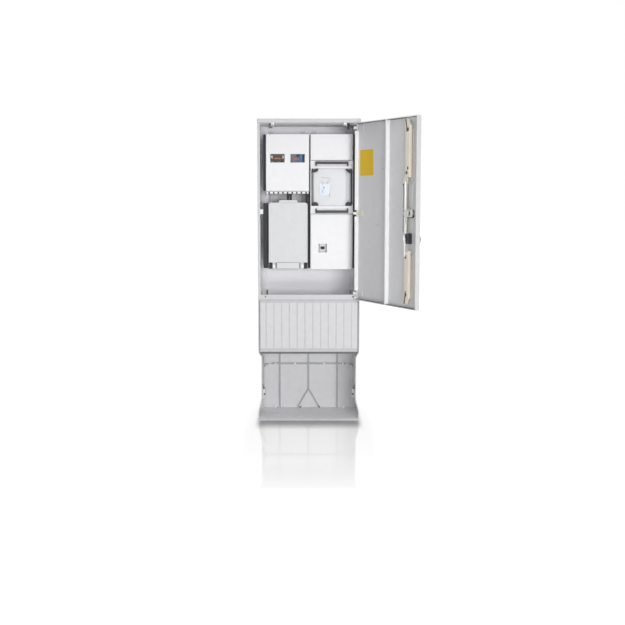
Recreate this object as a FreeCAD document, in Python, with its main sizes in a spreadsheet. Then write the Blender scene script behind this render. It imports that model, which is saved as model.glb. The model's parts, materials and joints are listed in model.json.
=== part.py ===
import FreeCAD, Part
import math
import os
import re
import Sketcher

# Free-standing electric meter pillar with its door swung open.
# The origin is the middle of the foot, on the ground. X runs to the right,
# Y to the rear and Z up. Lengths are in millimetres and angles in degrees.

doc = FreeCAD.newDocument("meter_pillar")
sheet = doc.addObject("Spreadsheet::Sheet", "Sizes")

# Driving sizes: name, value
SIZES = [
    # Whole pillar
    ("body_width", 570), ("body_depth", 275), ("cabinet_height", 980),
    ("roof_height", 21), ("roof_overhang", 27), ("roof_edge_round", 7), ("roof_top_round", 5),
    ("roof_skin", 6), ("liner_thickness", 4), ("shell_wall", 5), ("corner_round", 47),
    ("rim_width", 15), ("rim_depth", 5), ("sill_height", 29), ("shelf_rise", 8),
    ("shelf_depth", 20), ("cut_margin", 1),
    # Base
    ("base_height", 689), ("seam_height", 277), ("waist_inset", 17), ("foot_flat", 45),
    ("foot_flare", 75), ("shoulder_flare", 36), ("floor_thickness", 12),
    ("rib_width", 8), ("rib_depth", 12), ("rib_pitch", 170),
    ("fork_height", 125), ("fork_spread", 64), ("fork_foot", 16),
    ("seam_flange", 4), ("seam_flange_depth", 14), ("seam_inner", 86), ("seam_outer_inset", 85),
    ("panel_depth", 12), ("panel_gap", 11), ("panel_skin", 4), ("panel_bottom", 394.6),
    ("panel_top_gap", 1.5), ("base_flange_width", 20), ("groove_margin", 34.2),
    ("groove_width", 5), ("groove_depth", 2), ("panel_border_low", 20),
    ("panel_border_high", 15), ("panel_step", 1.5),
    ("hook_top", 200), ("hook_shoulder", 168), ("hook_bottom", 145), ("hook_foot_top", 132),
    ("hook_foot_low", 120), ("hook_reach", 15), ("hook_setback", 60), ("hook_depth", 30),
    # Door and hinges
    ("open_angle", 120.5), ("door_gap", 1), ("door_top_gap", 2), ("door_bottom_gap", 4),
    ("door_skin", 4), ("door_margin", 7), ("door_flange", 4), ("door_free_flange", 5),
    ("door_edge_round", 3), ("door_end_flange", 4), ("door_rib_width", 9),
    ("door_rib_offset", 16), ("hinge_inset", 19), ("hinge_stand", 17.5),
    ("pin_radius", 2.5), ("knuckle_radius", 5), ("knuckle_tall", 14), ("ear_tall", 7.5),
    ("pin_clearance", 0.06), ("part_clearance", 0.4), ("arm_inset", 6), ("arm_width", 14),
    ("arm_half", 2), ("foot_start", 20), ("foot_end", 30), ("notch_half", 17),
    ("leaf_width", 43), ("leaf_inset", 8), ("leaf_thickness", 3),
    ("hinge_low_rise", 10), ("hinge_middle_drop", 8), ("hinge_high_drop", 28),
    # Rods and lock
    ("rod_inset", 85), ("rod_half", 15), ("rod_back_stand", 8), ("rod_deep", 16),
    ("upper_rod_rise", 178), ("link_drop", 38), ("link_thickness", 4), ("lower_rod_drop", 66),
    ("tip_gap_high", 10), ("tip_gap_low", 1.5), ("fork_length", 68), ("fork_straight", 22),
    ("prong_deep", 8), ("prong_half", 3), ("prong_near", 7.5), ("prong_far", 14),
    ("outer_prong_drop", 19), ("flare_half", 22.5), ("flare_start", 42), ("flare_end", 24),
    ("guide_wall", 5), ("guide_tall", 18), ("guide_grip", 8), ("slot_half", 4),
    ("guide_1_drop", 124), ("guide_2_rise", 41), ("guide_3_drop", 85), ("guide_4_rise", 92),
    ("slot_tall", 14), ("slot_1_drop", 91), ("slot_2_rise", 17), ("slot_3_drop", 33),
    ("slot_depth", 5),
    ("bar_half", 6), ("bar_thickness", 3), ("bar_overlap", 22),
    ("lock_rise", 362), ("lock_half_tall", 27), ("case_deep", 26), ("lock_chamfer", 10),
    ("shaft_radius", 4), ("cam_radius", 11), ("cam_stand", 34.4), ("cam_thickness", 4),
    ("cam_nose", 20), ("link_rise", 5), ("link_overlap", 24),
    ("plate_reach", 81), ("plate_back", 35), ("plate_half", 29), ("plate_round", 26),
    ("plate_thickness", 6), ("lever_reach", 66), ("lever_back", 20), ("lever_half", 13),
    ("lever_thickness", 12), ("lever_round", 11), ("lever_gap", 0.4),
    ("latch_inset", 69), ("latch_rise", 130), ("latch_radius", 20), ("latch_base", 21),
    ("latch_base_deep", 20), ("latch_hub", 6), ("latch_stand", 9), ("latch_thickness", 4),
    ("latch_nose", 52), ("latch_nose_half", 7), ("keeper_tall", 27), ("keeper_reach", 26),
    ("keeper_lip", 5), ("keeper_deep", 16), ("catch_reach", 12), ("catch_half", 16),
    ("catch_deep", 18), ("catch_round", 9), ("buffer_wide", 9), ("buffer_half", 14),
    ("buffer_deep", 13), ("striker_half", 8), ("striker_drop", 18), ("striker_deep", 6),
    ("striker_slot", 4.5), ("striker_web", 9),
    ("label_margin", 20), ("label_wide", 126), ("label_drop", 151), ("label_tall", 140),
    ("label_thickness", 0.6),
    # Fields inside the cabinet
    ("cover_setback", 70), ("cover_deep", 80), ("cover_wall", 3), ("support_deep", 20),
    ("support_half", 10), ("support_drop", 29), ("support_tall", 800),
    ("left_margin", 44), ("left_inner", 2), ("right_inner", 9), ("right_margin", 36),
    ("right_round", 28), ("cover_round", 5), ("support_1_inset", 26), ("support_2", 28),
    ("support_3", 35), ("support_4_inset", 27),
    ("field_drop", 57), ("upper_left_tall", 316), ("upper_right_tall", 144),
    ("meter_place_tall", 302), ("lower_right_tall", 311), ("window_drop", 110),
    ("window_tall", 47), ("window_margin", 25), ("window_gap", 33),
    ("window_3_inset", 47),
    ("window_3_wide", 44.5), ("window_3_rise", 96), ("window_3_tall", 48),
    ("device_gap", 8), ("device_deep", 47), ("device_low", 20), ("device_high", 42),
    ("terminal_top", 11), ("hat_half", 17.5), ("hat_thickness", 2), ("hat_leg", 14),
    ("terminal_pitch", 18), ("funnel_radius", 5), ("funnel_deep", 6), ("slit", 1.2),
    ("module_wide", 44), ("module_gap", 2), ("end_module", 8), ("cover_screw_radius", 4),
    ("cover_screw_head", 2), ("cover_screw_side", 24), ("cover_screw_drop", 6),
    ("switch_wide", 36), ("switch_gap", 14), ("toggle_radius", 8), ("toggle_half", 11),
    ("toggle_pin", 3), ("toggle_pin_radius", 2.5), ("toggle_reach", 14), ("toggle_grip", 4),
    # Meter place
    ("meter_setback", 78), ("meter_gap", 2), ("hood_left_inset", 11), ("hood_right_inset", 13),
    ("hood_setback", 44), ("hood_lean", 9), ("hood_bevel", 22), ("hood_bevel_deep", 14),
    ("hood_wall", 3), ("hood_drop", 47), ("hood_rise", 46), ("frame_wide", 5),
    ("corner_wide", 34), ("corner_tall", 22), ("corner_deep", 12), ("clamp_tall", 13),
    ("clamp_deep", 16), ("bail_left_inset", 28), ("bail_right_inset", 27), ("bail_thick", 8),
    ("bail_bar", 15), ("bail_rise", 22), ("bail_pin", 4), ("bail_gap", 0.5), ("lug_wide", 5),
    # Service fuse box
    ("box_margin", 15), ("box_right", 7), ("box_rise", 1), ("box_gap", 65),
    ("box_round", 14), ("lid_deep", 62), ("recess_left_wide", 44), ("recess_right_wide", 46),
    ("recess_tall", 37), ("recess_deep", 20), ("lid_screw_drop", 22), ("lid_screw_side", 28),
    ("lid_screw_radius", 5), ("lid_screw_head", 3), ("tab_line", 2),
    ("arch_left_inset", 56), ("arch_right_inset", 55), ("arch_rise", 14), ("arch_deep", 44),
    ("gland_radius", 7), ("gland_shift", 3), ("gland_pitch", 15.6), ("gland_setback", 30),
    ("fuse_half", 21), ("fuse_pitch", 54), ("fuse_tall", 150), ("fuse_deep", 50),
    ("link_half", 14), ("link_tall", 66), ("link_deep", 26),
    ("comb_tall", 15), ("comb_deep", 8), ("comb_pitch", 26), ("comb_notch", 9),
    # Fasteners and sill fittings
    ("screw_radius", 3), ("screw_head_radius", 5), ("screw_head", 3),
    ("floor_screw_rear", 17), ("tab_inset", 47), ("tab_wide", 9), ("tab_foot_inset", 21),
    ("tab_tall", 26), ("tab_foot_drop", 6), ("tab_deep", 18),
]
VALUES = {}
for row, (alias, value) in enumerate(SIZES, start=1):
    sheet.set(f"A{row}", alias)
    sheet.set(f"B{row}", str(value))
    sheet.setAlias(f"B{row}", alias)
    VALUES[alias] = value
doc.recompute()

# Places that follow from the driving sizes
PLACES = {
    "half": "body_width / 2",
    "front": "-body_depth / 2",
    "back": "body_depth / 2",
    "rear": "body_depth / 2 - shell_wall",
    "inner_half": "half - shell_wall",
    "waist": "half - waist_inset",
    "housing_top": "base_height + cabinet_height",
    "total_height": "housing_top + roof_height",
    "opening_half": "half - rim_width",
    "sill_top": "base_height + sill_height",
    "shelf_low": "base_height + shelf_rise",
    "panel_half": "half - panel_gap",
    "panel_top": "base_height - panel_top_gap",
    "door_front": "front - roof_overhang",
    "door_back": "front - door_gap",
    "door_inside": "door_front + door_skin",
    "door_edge": "half - door_margin",
    "door_low": "base_height + door_bottom_gap",
    "door_high": "housing_top - door_top_gap",
    "hinge_x": "half - hinge_inset",
    "hinge_y": "front - hinge_stand",
    "hinge_low": "sill_top + hinge_low_rise",
    "hinge_middle": "latch_height - hinge_middle_drop",
    "hinge_high": "housing_top - hinge_high_drop",
    "lock_height": "base_height + lock_rise",
    "latch_height": "lock_height + latch_rise",
    "rod_across": "half - rod_inset",
    "latch_across": "half - latch_inset",
    "rod_back": "door_inside + rod_back_stand",
    "rod_face": "rod_back + rod_deep",
    "tip_high": "housing_top - tip_gap_high",
    "tip_low": "sill_top + tip_gap_low",
    "upper_rod_end": "latch_height + upper_rod_rise",
    "link_end": "upper_rod_end - link_drop",
    "lower_rod_end": "lock_height - lower_rod_drop",
    "guide_1": "housing_top - guide_1_drop",
    "guide_2": "upper_rod_end + guide_2_rise",
    "guide_3": "lower_rod_end - guide_3_drop",
    "guide_4": "sill_top + guide_4_rise",
    "slot_1": "housing_top - slot_1_drop",
    "slot_2": "upper_rod_end + slot_2_rise",
    "slot_3": "lower_rod_end - slot_3_drop",
    "label_left": "hinge_x - label_margin",
    "label_right": "label_left - label_wide",
    "label_high": "housing_top - label_drop",
    "label_low": "label_high - label_tall",
    "case_high": "lock_height + lock_half_tall",
    "case_low": "lock_height - lock_half_tall",
    "cam_back": "door_front + cam_stand",
    "cover_front": "front + cover_setback",
    "cover_back": "cover_front + cover_deep",
    "support_front": "rear - support_deep",
    "support_high": "housing_top - support_drop",
    "support_low": "support_high - support_tall",
    "left_outer": "half - left_margin",
    "right_outer": "half - right_margin",
    "support_1": "left_outer - support_1_inset",
    "support_4": "right_outer - support_4_inset",
    "upper_top": "housing_top - field_drop",
    "upper_left_low": "upper_top - upper_left_tall",
    "upper_right_low": "upper_top - upper_right_tall",
    "lower_top": "upper_right_low - meter_place_tall",
    "lower_low": "lower_top - lower_right_tall",
    "window_high": "upper_top - window_drop",
    "window_low": "window_high - window_tall",
    "window_1": "left_outer - window_margin",
    "window_wide": "(left_outer + left_inner - 2 * window_margin - window_gap) / 2",
    "window_2": "window_1 - window_wide - window_gap",
    "window_3": "right_inner + window_3_inset",
    "window_3_low": "lower_low + window_3_rise",
    "window_3_high": "window_3_low + window_3_tall",
    "device_front": "cover_front + device_gap",
    "device_back": "device_front + device_deep",
    "window_middle": "(window_low + window_high) / 2",
    "switch_middle": "(window_3_low + window_3_high) / 2",
    "switch_across": "window_3 + window_3_wide / 2",
    "meter_face": "front + meter_setback",
    "hood_front": "front + hood_setback",
    "hood_left": "right_inner + hood_left_inset",
    "hood_right": "right_outer - hood_right_inset",
    "hood_high": "upper_right_low - hood_drop",
    "hood_low": "lower_top + hood_rise",
    "bail_left": "right_inner + bail_left_inset",
    "bail_right": "right_outer - bail_right_inset",
    "clamp_front": "meter_face - clamp_deep",
    "bail_y": "clamp_front + bail_thick / 2",
    "lid_back": "cover_front + lid_deep",
    "box_left": "left_outer - box_margin",
    "box_low": "lower_low + box_rise",
    "box_high": "upper_left_low - box_gap",
    "recess_left": "box_left - recess_left_wide",
    "recess_right": "box_right + recess_right_wide",
    "recess_high": "box_low + recess_tall",
    "arch_left": "box_left - arch_left_inset",
    "arch_right": "box_right + arch_right_inset",
    "gland_left": "(arch_left + arch_right) / 2 + gland_shift",
    "shelf_face": "cover_front + recess_deep",
    "tray_floor": "support_front - cover_wall",
    "fuse_front": "tray_floor - fuse_deep",
    "fuse_middle": "(box_low + box_high) / 2",
    "fuse_across": "-(box_left + box_right) / 2",
    "gland_y": "cover_front + gland_setback",
    "seam_outer": "half - seam_outer_inset",
    "tab_outer": "half - tab_inset",
    "tab_inner": "tab_outer - tab_wide",
    "tab_foot": "half - tab_foot_inset",
    "tab_high": "sill_top + tab_tall",
    "tab_foot_high": "sill_top - tab_foot_drop",
}
WORD = r"[a-z][a-z_0-9]*"


def full(text):
    """Write every place out in driving sizes, as the sheet knows them."""
    def word(match):
        name = match.group(0)
        if name in PLACES:
            return "(" + full(PLACES[name]) + ")"
        return "Sizes." + name if name in VALUES else name
    return re.sub(WORD, word, str(text))


def number(text):
    """The present value of an expression, to draw an outline near its final form."""
    def word(match):
        name = match.group(0)
        value = number(PLACES[name]) if name in PLACES else VALUES[name]
        return f"({value:.9f})"
    return FreeCAD.Units.Quantity(re.sub(WORD, word, str(text))).Value


def bind(item, **expressions):
    for target, text in expressions.items():
        item.setExpression(target.replace("__", "."), full(text))
    return item


def around(centre, half):
    return (f"{centre} - ({half})", f"{centre} + ({half})")


def mirror(span):
    return (f"-({span[1]})", f"-({span[0]})")


def block(name, across, deep, up):
    """A box from the lower to the upper place along each axis."""
    item = doc.addObject("Part::Box", name)
    return bind(item, Length=f"({across[1]}) - ({across[0]})", Width=f"({deep[1]}) - ({deep[0]})",
                Height=f"({up[1]}) - ({up[0]})", Placement__Base__x=across[0],
                Placement__Base__y=deep[0], Placement__Base__z=up[0])


TURNS = {
    "x": FreeCAD.Rotation(FreeCAD.Vector(0, 1, 0), 90),
    "y": FreeCAD.Rotation(FreeCAD.Vector(1, 0, 0), -90),
    "z": FreeCAD.Rotation(),
}


def drum(name, radius, length, place, axis="z"):
    """A cylinder that runs from its place along the axis."""
    item = doc.addObject("Part::Cylinder", name)
    item.Placement = FreeCAD.Placement(FreeCAD.Vector(), TURNS[axis])
    return bind(item, Radius=radius, Height=length, Placement__Base__x=place[0],
                Placement__Base__y=place[1], Placement__Base__z=place[2])


def constrain(sketch, *values):
    sketch.addConstraint(Sketcher.Constraint(*values))


def tie(sketch, text, *values):
    """Add a dimension and bind it to an expression."""
    constrain(sketch, *values, number(text))
    sketch.setExpression(f"Constraints[{sketch.ConstraintCount - 1}]", full(text))


def corner_ends(corners, index):
    """Where the two lines that meet in a rounded corner stop."""
    corner = corners[index]
    ends = []
    for other in (corners[index - 1], corners[(index + 1) % len(corners)]):
        shift_x = number(other[0]) - number(corner[0])
        shift_y = number(other[1]) - number(corner[1])
        sideways = abs(shift_x) > abs(shift_y)
        sign = "+" if (shift_x if sideways else shift_y) > 0 else "-"
        ends.append((f"{corner[0]} {sign} ({corner[2]})", corner[1]) if sideways
                    else (corner[0], f"{corner[1]} {sign} ({corner[2]})"))
    return ends


def spot(place):
    return FreeCAD.Vector(number(place[0]), number(place[1]), 0)


def draw(sketch, corners):
    """Close an outline through its corners. A corner's third value is its radius, and
    joins two lines that run along the sketch axes."""
    count = len(corners)
    ends = [corner_ends(corners, index) if len(corner) == 3 else [corner, corner]
            for index, corner in enumerate(corners)]
    for index in range(count):
        first, second = ends[index][1], ends[(index + 1) % count][0]
        line = sketch.addGeometry(Part.LineSegment(spot(first), spot(second)), False)
        for point, place in ((1, first), (2, second)):
            tie(sketch, place[0], "DistanceX", -1, 1, line, point)
            tie(sketch, place[1], "DistanceY", -1, 1, line, point)
    for index, corner in enumerate(corners):
        if len(corner) != 3:
            continue
        start, end, tip = spot(ends[index][0]), spot(ends[index][1]), spot(corner)
        centre = start + end - tip
        middle = centre + (tip - centre).normalize() * number(corner[2])
        arc = sketch.addGeometry(Part.Arc(start, middle, end), False)
        curve = sketch.Geometry[arc]
        turned = curve.StartPoint.distanceToPoint(start) > curve.StartPoint.distanceToPoint(end)
        constrain(sketch, "Coincident", arc, 2 if turned else 1, (index - 1) % count, 2)
        constrain(sketch, "Coincident", arc, 1 if turned else 2, index, 1)
        tie(sketch, corner[2], "Radius", arc)


# Sketch planes: the origin plane, and the sign of the body's axis along the normal
PLANES = {"plan": ("XY_Plane", 1), "face": ("XZ_Plane", -1), "side": ("YZ_Plane", 1)}


def plate(name, plane, corners, low, high):
    """A moulded or cut plate: an outline padded from the lower to the upper place."""
    body = doc.addObject("PartDesign::Body", name)
    sketch = body.newObject("Sketcher::SketchObject", name + "_outline")
    role, sign = PLANES[plane]
    origin = [item for item in body.Origin.OriginFeatures if item.Role == role][0]
    sketch.AttachmentSupport = [(origin, "")]
    sketch.MapMode = "FlatFace"
    start = low if sign > 0 else f"-({high})"
    sketch.setExpression("AttachmentOffset.Base.z", full(start))
    draw(sketch, corners)
    pad = body.newObject("PartDesign::Pad", name + "_pad")
    pad.Profile = sketch
    pad.setExpression("Length", full(f"({high}) - ({low})"))
    body.Tip = pad
    return body


def rectangle(low, high, radius):
    """Corners of an upright rectangle with one radius all round."""
    return [(low[0], low[1], radius), (high[0], low[1], radius), (high[0], high[1], radius),
            (low[0], high[1], radius)]


def join(name, *items):
    item = doc.addObject("Part::MultiFuse", name)
    item.Shapes = list(items)
    return item


def common(name, *items):
    item = doc.addObject("Part::MultiCommon", name)
    item.Shapes = list(items)
    return item


def group(name, *items):
    item = doc.addObject("Part::Compound", name)
    item.Links = list(items)
    return item


def cut(name, base, *tools):
    item = doc.addObject("Part::Cut", name)
    item.Base = base
    item.Tool = tools[0] if len(tools) == 1 else group(name + "_tools", *tools)
    return item


NODES = []
SWING = "placement(vector(0; 0; 0); rotation(vector(0; 0; 1); open_angle); " \
        "vector(hinge_x; hinge_y; 0))"


def node(name, item, on_door=False):
    """Keep one separate piece of the pillar under its own name."""
    if on_door:
        if item.TypeId in ("Part::Box", "Part::Cylinder"):
            item = group(name + "_swung", item)
        item.setExpression("Placement", full(SWING))
    item.Label = name
    NODES.append(item)
    return item


# Base: two U-shaped mouldings with a waist, ribs and a forked middle rib

FLARE_STEPS = 4


def side_line(offset, low, high, foot):
    """The right side of the waisted outline from the bottom up."""
    wide, narrow = f"half - ({offset})", f"waist - ({offset})"
    line = []
    for step in range(FLARE_STEPS + 1):
        share = step / FLARE_STEPS
        bend = (1 - math.cos(math.pi * share)) / 2
        if foot:
            line.append((f"{wide} - waist_inset * {bend:.4f}", f"foot_flat + foot_flare * {share}"))
        else:
            line.append((f"{narrow} + waist_inset * {bend:.4f}",
                         f"panel_bottom - shoulder_flare * {1 - share}"))
    return [(wide if foot else narrow, low)] + line + [(narrow if foot else wide, high)]


def waisted(name, offset, low, high, foot):
    right = side_line(offset, low, high, foot)
    left = [(f"-({across})", up) for across, up in reversed(right)]
    return plate(name, "face", right + left, "front", "back")


def tub(name, offset, low, high, start):
    """The plan of the pillar with its rounded rear corners, drawn in by an offset."""
    side, end, turn = f"half - {offset}", f"back - {offset}", f"corner_round - {offset}"
    return plate(name, "plan", [(f"-({side})", start), (side, start), (side, end, turn),
                                (f"-({side})", end, turn)], low, high)


SEAM_SCREWS = ("-seam_outer", "-seam_inner", "seam_inner", "seam_outer")
seam_y = "rear - seam_flange_depth / 2"


def base_moulding(name, low, high, foot, additions, hole_low):
    outer = common(name + "_outer", waisted(name + "_face", "0", low, high, foot),
                   tub(name + "_plan", "0", low, high, "front"))
    inner = common(name + "_inner", waisted(name + "_room_face", "shell_wall", low, high, foot),
                   tub(name + "_room_plan", "shell_wall", low, high, "front"))
    ribbed = join(name + "_ribbed", cut(name + "_shell", outer, inner), *additions)
    holes = [drum(f"{name}_hole_{index}", "screw_radius + pin_clearance",
                  "seam_flange + 2 * cut_margin", (across, seam_y, hole_low))
             for index, across in enumerate(SEAM_SCREWS)]
    return cut(name, ribbed, *holes)


rib_deep = ("rear - rib_depth", "rear + shell_wall / 2")


def back_rib(name, across, low, high):
    return block(name, around(across, "rib_width / 2"), rib_deep, (low, high))


def fork_branch(name, side):
    """One leg of the forked middle rib."""
    wide = "rib_width / 2"
    low = f"{side} * fork_spread"
    return plate(name, "face", [(f"-{wide}", "fork_height"), (f"{low} - {wide}", "fork_foot"),
                                (f"{low} + {wide}", "fork_foot"), (wide, "fork_height")], *rib_deep)


seam_half = "waist - corner_round"
lip_deep = ("rear - seam_flange_depth", "rear + shell_wall / 2")
lower_parts = [back_rib("rib_low_left", "-rib_pitch", "floor_thickness", "seam_height"),
               back_rib("rib_low_right", "rib_pitch", "floor_thickness", "seam_height"),
               back_rib("rib_low_middle", "0", "fork_height", "seam_height"),
               fork_branch("fork_leg_left", "-1"), fork_branch("fork_leg_right", "1"),
               block("lip_low", around("0", seam_half), lip_deep,
                     ("seam_height - seam_flange", "seam_height"))]
node("base_lower_moulding", base_moulding("base_lower", "floor_thickness", "seam_height", True,
                                          lower_parts, "seam_height - seam_flange - cut_margin"))
base_flange_deep = ("front + panel_depth", "front + panel_depth + shell_wall")
base_flange = ("half - base_flange_width", "half - shell_wall / 2")
upper_parts = [back_rib("rib_high_left", "-rib_pitch", "seam_height", "base_height"),
               back_rib("rib_high_middle", "0", "seam_height", "base_height"),
               back_rib("rib_high_right", "rib_pitch", "seam_height", "base_height"),
               block("lip_high", around("0", seam_half), lip_deep,
                     ("seam_height", "seam_height + seam_flange")),
               block("base_flange_right", base_flange, base_flange_deep,
                     ("panel_bottom", "base_height")),
               block("base_flange_left", mirror(base_flange), base_flange_deep,
                     ("panel_bottom", "base_height"))]
node("base_upper_moulding", base_moulding("base_upper", "seam_height", "base_height", False,
                                          upper_parts, "seam_height - cut_margin"))
node("base_floor_plate", tub("floor_plate", "0", "0", "floor_thickness", "front"))

seam_screws = []
for index, across in enumerate(SEAM_SCREWS):
    low = "seam_height - seam_flange - screw_head"
    seam_screws.append(join(f"seam_screw_{index}",
                            drum(f"seam_shank_{index}", "screw_radius",
                                 "2 * seam_flange + 2 * screw_head", (across, seam_y, low)),
                            drum(f"seam_head_{index}", "screw_head_radius", "screw_head",
                                 (across, seam_y, "seam_height + seam_flange")),
                            drum(f"seam_nut_{index}", "screw_head_radius", "screw_head",
                                 (across, seam_y, low))))
floor_screws = [drum(f"floor_screw_{index}", "screw_head_radius", "screw_head",
                     (across, "back - floor_screw_rear - shell_wall", "floor_thickness"))
                for index, across in enumerate(("-seam_outer", "seam_outer"))]
node("base_screws", group("base_screw_group", *seam_screws, *floor_screws))


def side_hook(name, side):
    """A catch with a ramp and a slot on the waist wall, for the front panel."""
    wall, out = "waist - shell_wall", "waist - shell_wall - hook_reach"
    corners = [(wall, "hook_foot_low"), (wall, "hook_top"), (out, "hook_shoulder"),
               (out, "hook_bottom"), (f"{wall} - shell_wall", "hook_bottom"),
               (f"{wall} - shell_wall", "hook_foot_top"), (out, "hook_foot_top"),
               (out, "hook_foot_low")]
    if side < 0:
        corners = [(f"-({across})", up) for across, up in corners]
    return plate(name, "face", corners, "front + hook_setback",
                 "front + hook_setback + hook_depth")


node("base_side_hooks", group("side_hooks", side_hook("hook_left", -1), side_hook("hook_right", 1)))

# Removable ribbed front panel of the base

panel_up = ("panel_bottom", "panel_top")
panel_wall = ("panel_half - panel_skin", "panel_half")
wall_deep = ("front + panel_skin / 2", "front + panel_depth")
panel_parts = [block("panel_plate", around("0", "panel_half"), ("front", "front + panel_skin"),
                     panel_up),
               block("panel_wall_right", panel_wall, wall_deep, panel_up),
               block("panel_wall_left", mirror(panel_wall), wall_deep, panel_up),
               block("panel_wall_top", around("0", "panel_half - panel_skin / 2"), wall_deep,
                     ("panel_top - panel_skin", "panel_top")),
               block("panel_wall_low", around("0", "panel_half - panel_skin / 2"), wall_deep,
                     ("panel_bottom", "panel_bottom + panel_skin"))]
GROOVES = 12
step_deep = ("front - cut_margin", "front + panel_step")
step_wide = around("0", "panel_half + cut_margin")
panel_cuts = [block("panel_step_low", step_wide, step_deep,
                    ("panel_bottom - cut_margin", "panel_bottom + panel_border_low")),
              block("panel_step_high", step_wide, step_deep,
                    ("panel_top - panel_border_high", "panel_top + cut_margin"))]
for index in range(GROOVES):
    share = 2 * index / (GROOVES - 1) - 1
    panel_cuts.append(block(f"groove_{index}",
                            around(f"(panel_half - groove_margin) * {share:.9f}",
                                   "groove_width / 2"),
                            ("front - cut_margin", "front + groove_depth"),
                            ("panel_bottom + panel_border_low",
                             "panel_top - panel_border_high")))
node("base_front_panel", cut("front_panel", join("panel_tray", *panel_parts), *panel_cuts))

# Cabinet housing: back, side walls, front rim and sill in one moulding

housing = cut("housing_shell", tub("housing_outer", "0", "base_height", "housing_top", "front"),
              tub("housing_room", "shell_wall", "base_height - cut_margin",
                  "housing_top + cut_margin", "front + rim_depth"),
              block("housing_opening", around("0", "opening_half"),
                    ("front - cut_margin", "front + rim_depth + cut_margin"),
                    ("sill_top", "housing_top + cut_margin")))
sill_shelf = block("sill_shelf", around("0", "inner_half + shell_wall / 2"),
                   ("front + rim_depth / 2", "front + rim_depth + shelf_depth"),
                   ("shelf_low", "shelf_low + shell_wall"))
node("cabinet_housing", join("housing", housing, sill_shelf))

# Roof cap with an overhanging front edge, and the flat liner that closes it below

roof_block = plate("roof_block", "plan",
                   [("-half", "door_front", "roof_edge_round"),
                    ("half", "door_front", "roof_edge_round"),
                    ("half", "back", "corner_round"), ("-half", "back", "corner_round")],
                   "housing_top", "total_height")
roof_face = plate("roof_face", "face",
                  [("-half", "housing_top"), ("half", "housing_top"),
                   ("half", "total_height", "roof_top_round"),
                   ("-half", "total_height", "roof_top_round")], "door_front", "back")
roof_side = plate("roof_side", "side",
                  [("door_front", "housing_top"), ("back", "housing_top"),
                   ("back", "total_height", "roof_top_round"),
                   ("door_front", "total_height", "roof_top_round")], "-half", "half")
node("roof_cap", cut("roof", common("roof_solid", roof_block, roof_face, roof_side),
                     tub("roof_room", "roof_skin", "housing_top - cut_margin",
                         "total_height - roof_skin", "door_front + roof_skin")))
node("roof_liner", tub("liner", "roof_skin", "housing_top", "housing_top + liner_thickness",
                       "door_front + roof_skin"))


def striker(name, across):
    """A hanging block with a slot that lets a rod tip in, and a web it locks behind."""
    deep = ("front", "front + striker_deep")
    return cut(name, block(name + "_block", around(across, "striker_half"), deep,
                           ("housing_top - striker_drop", "housing_top")),
               block(name + "_slot", around(across, "striker_slot"),
                     ("front - cut_margin", "front + striker_deep + cut_margin"),
                     ("housing_top - striker_drop - cut_margin", "housing_top - striker_web")))


node("roof_strikers", group("strikers", striker("striker_left", "-rod_across"),
                            striker("striker_right", "rod_across")))

keeper_up = around("latch_height", "keeper_tall / 2")
node("mid_keeper", join("keeper",
                        block("keeper_wall", ("-inner_half", "-inner_half + keeper_lip"),
                              ("front + rim_depth", "front + rim_depth + keeper_deep"), keeper_up),
                        block("keeper_web", ("-inner_half", "-inner_half + keeper_reach"),
                              ("front + rim_depth", "front + rim_depth + 2 * cut_margin"),
                              keeper_up),
                        block("keeper_hook", ("-opening_half", "-inner_half + keeper_reach"),
                              ("front + cut_margin", "front + rim_depth + cut_margin"), keeper_up)))


def sill_tab(name, side):
    """An upright tab on a foot, standing on the sill shelf."""
    deep = ("front + rim_depth", "front + rim_depth + tab_deep")
    tab, foot = ("tab_inner", "tab_outer"), ("tab_inner", "tab_foot")
    if side < 0:
        tab, foot = mirror(tab), mirror(foot)
    return join(name, block(name + "_tab", tab, deep, ("shelf_low + shell_wall", "tab_high")),
                block(name + "_foot", foot, deep, ("shelf_low + shell_wall", "tab_foot_high")))


node("sill_tabs", group("tabs", sill_tab("tab_left", -1), sill_tab("tab_right", 1)))

# Support rails on the back wall

RAILS = ("-support_1", "-support_2", "support_3", "support_4")
rails = []
for index, across in enumerate(RAILS):
    rails.append(cut(f"support_rail_{index}",
                     block(f"rail_block_{index}", around(across, "support_half"),
                           ("support_front", "rear"), ("support_low", "support_high")),
                     block(f"rail_room_{index}", around(across, "support_half - cover_wall"),
                           ("support_front + cover_wall", "rear + cut_margin"),
                           ("support_low - cut_margin", "support_high + cut_margin"))))
node("support_rails", group("rails", *rails))

# Field trays and covers


def tray(name, across, up):
    room = (f"{across[0]} + cover_wall", f"{across[1]} - cover_wall")
    room_up = (f"{up[0]} + cover_wall", f"{up[1]} - cover_wall")
    return node(name, cut(name + "_shell",
                          block(name + "_block", across, ("cover_back", "support_front"), up),
                          block(name + "_room", room, ("cover_back - cut_margin", "tray_floor"),
                                room_up)))


def cover(name, across, up, right_round, windows=()):
    """A hood open at the rear, with rounded front corners and window openings."""
    def profile(offset):
        low, high = f"{across[0]} + {offset}", f"{across[1]} - {offset}"
        return [(low, f"cover_front + {offset}", f"cover_round - {offset}"),
                (high, f"cover_front + {offset}", f"{right_round} - {offset}"),
                (high, "cover_back"), (low, "cover_back")]
    tools = [plate(name + "_room", "plan", profile("cover_wall"), f"{up[0]} + cover_wall",
                   f"{up[1]} - cover_wall")]
    for index, (window, window_up) in enumerate(windows):
        tools.append(block(f"{name}_window_{index}", window,
                           ("cover_front - cut_margin", "cover_front + cover_wall + cut_margin"),
                           window_up))
    return node(name, cut(name + "_hood", plate(name + "_block", "plan", profile("0"), *up), *tools))


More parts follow.
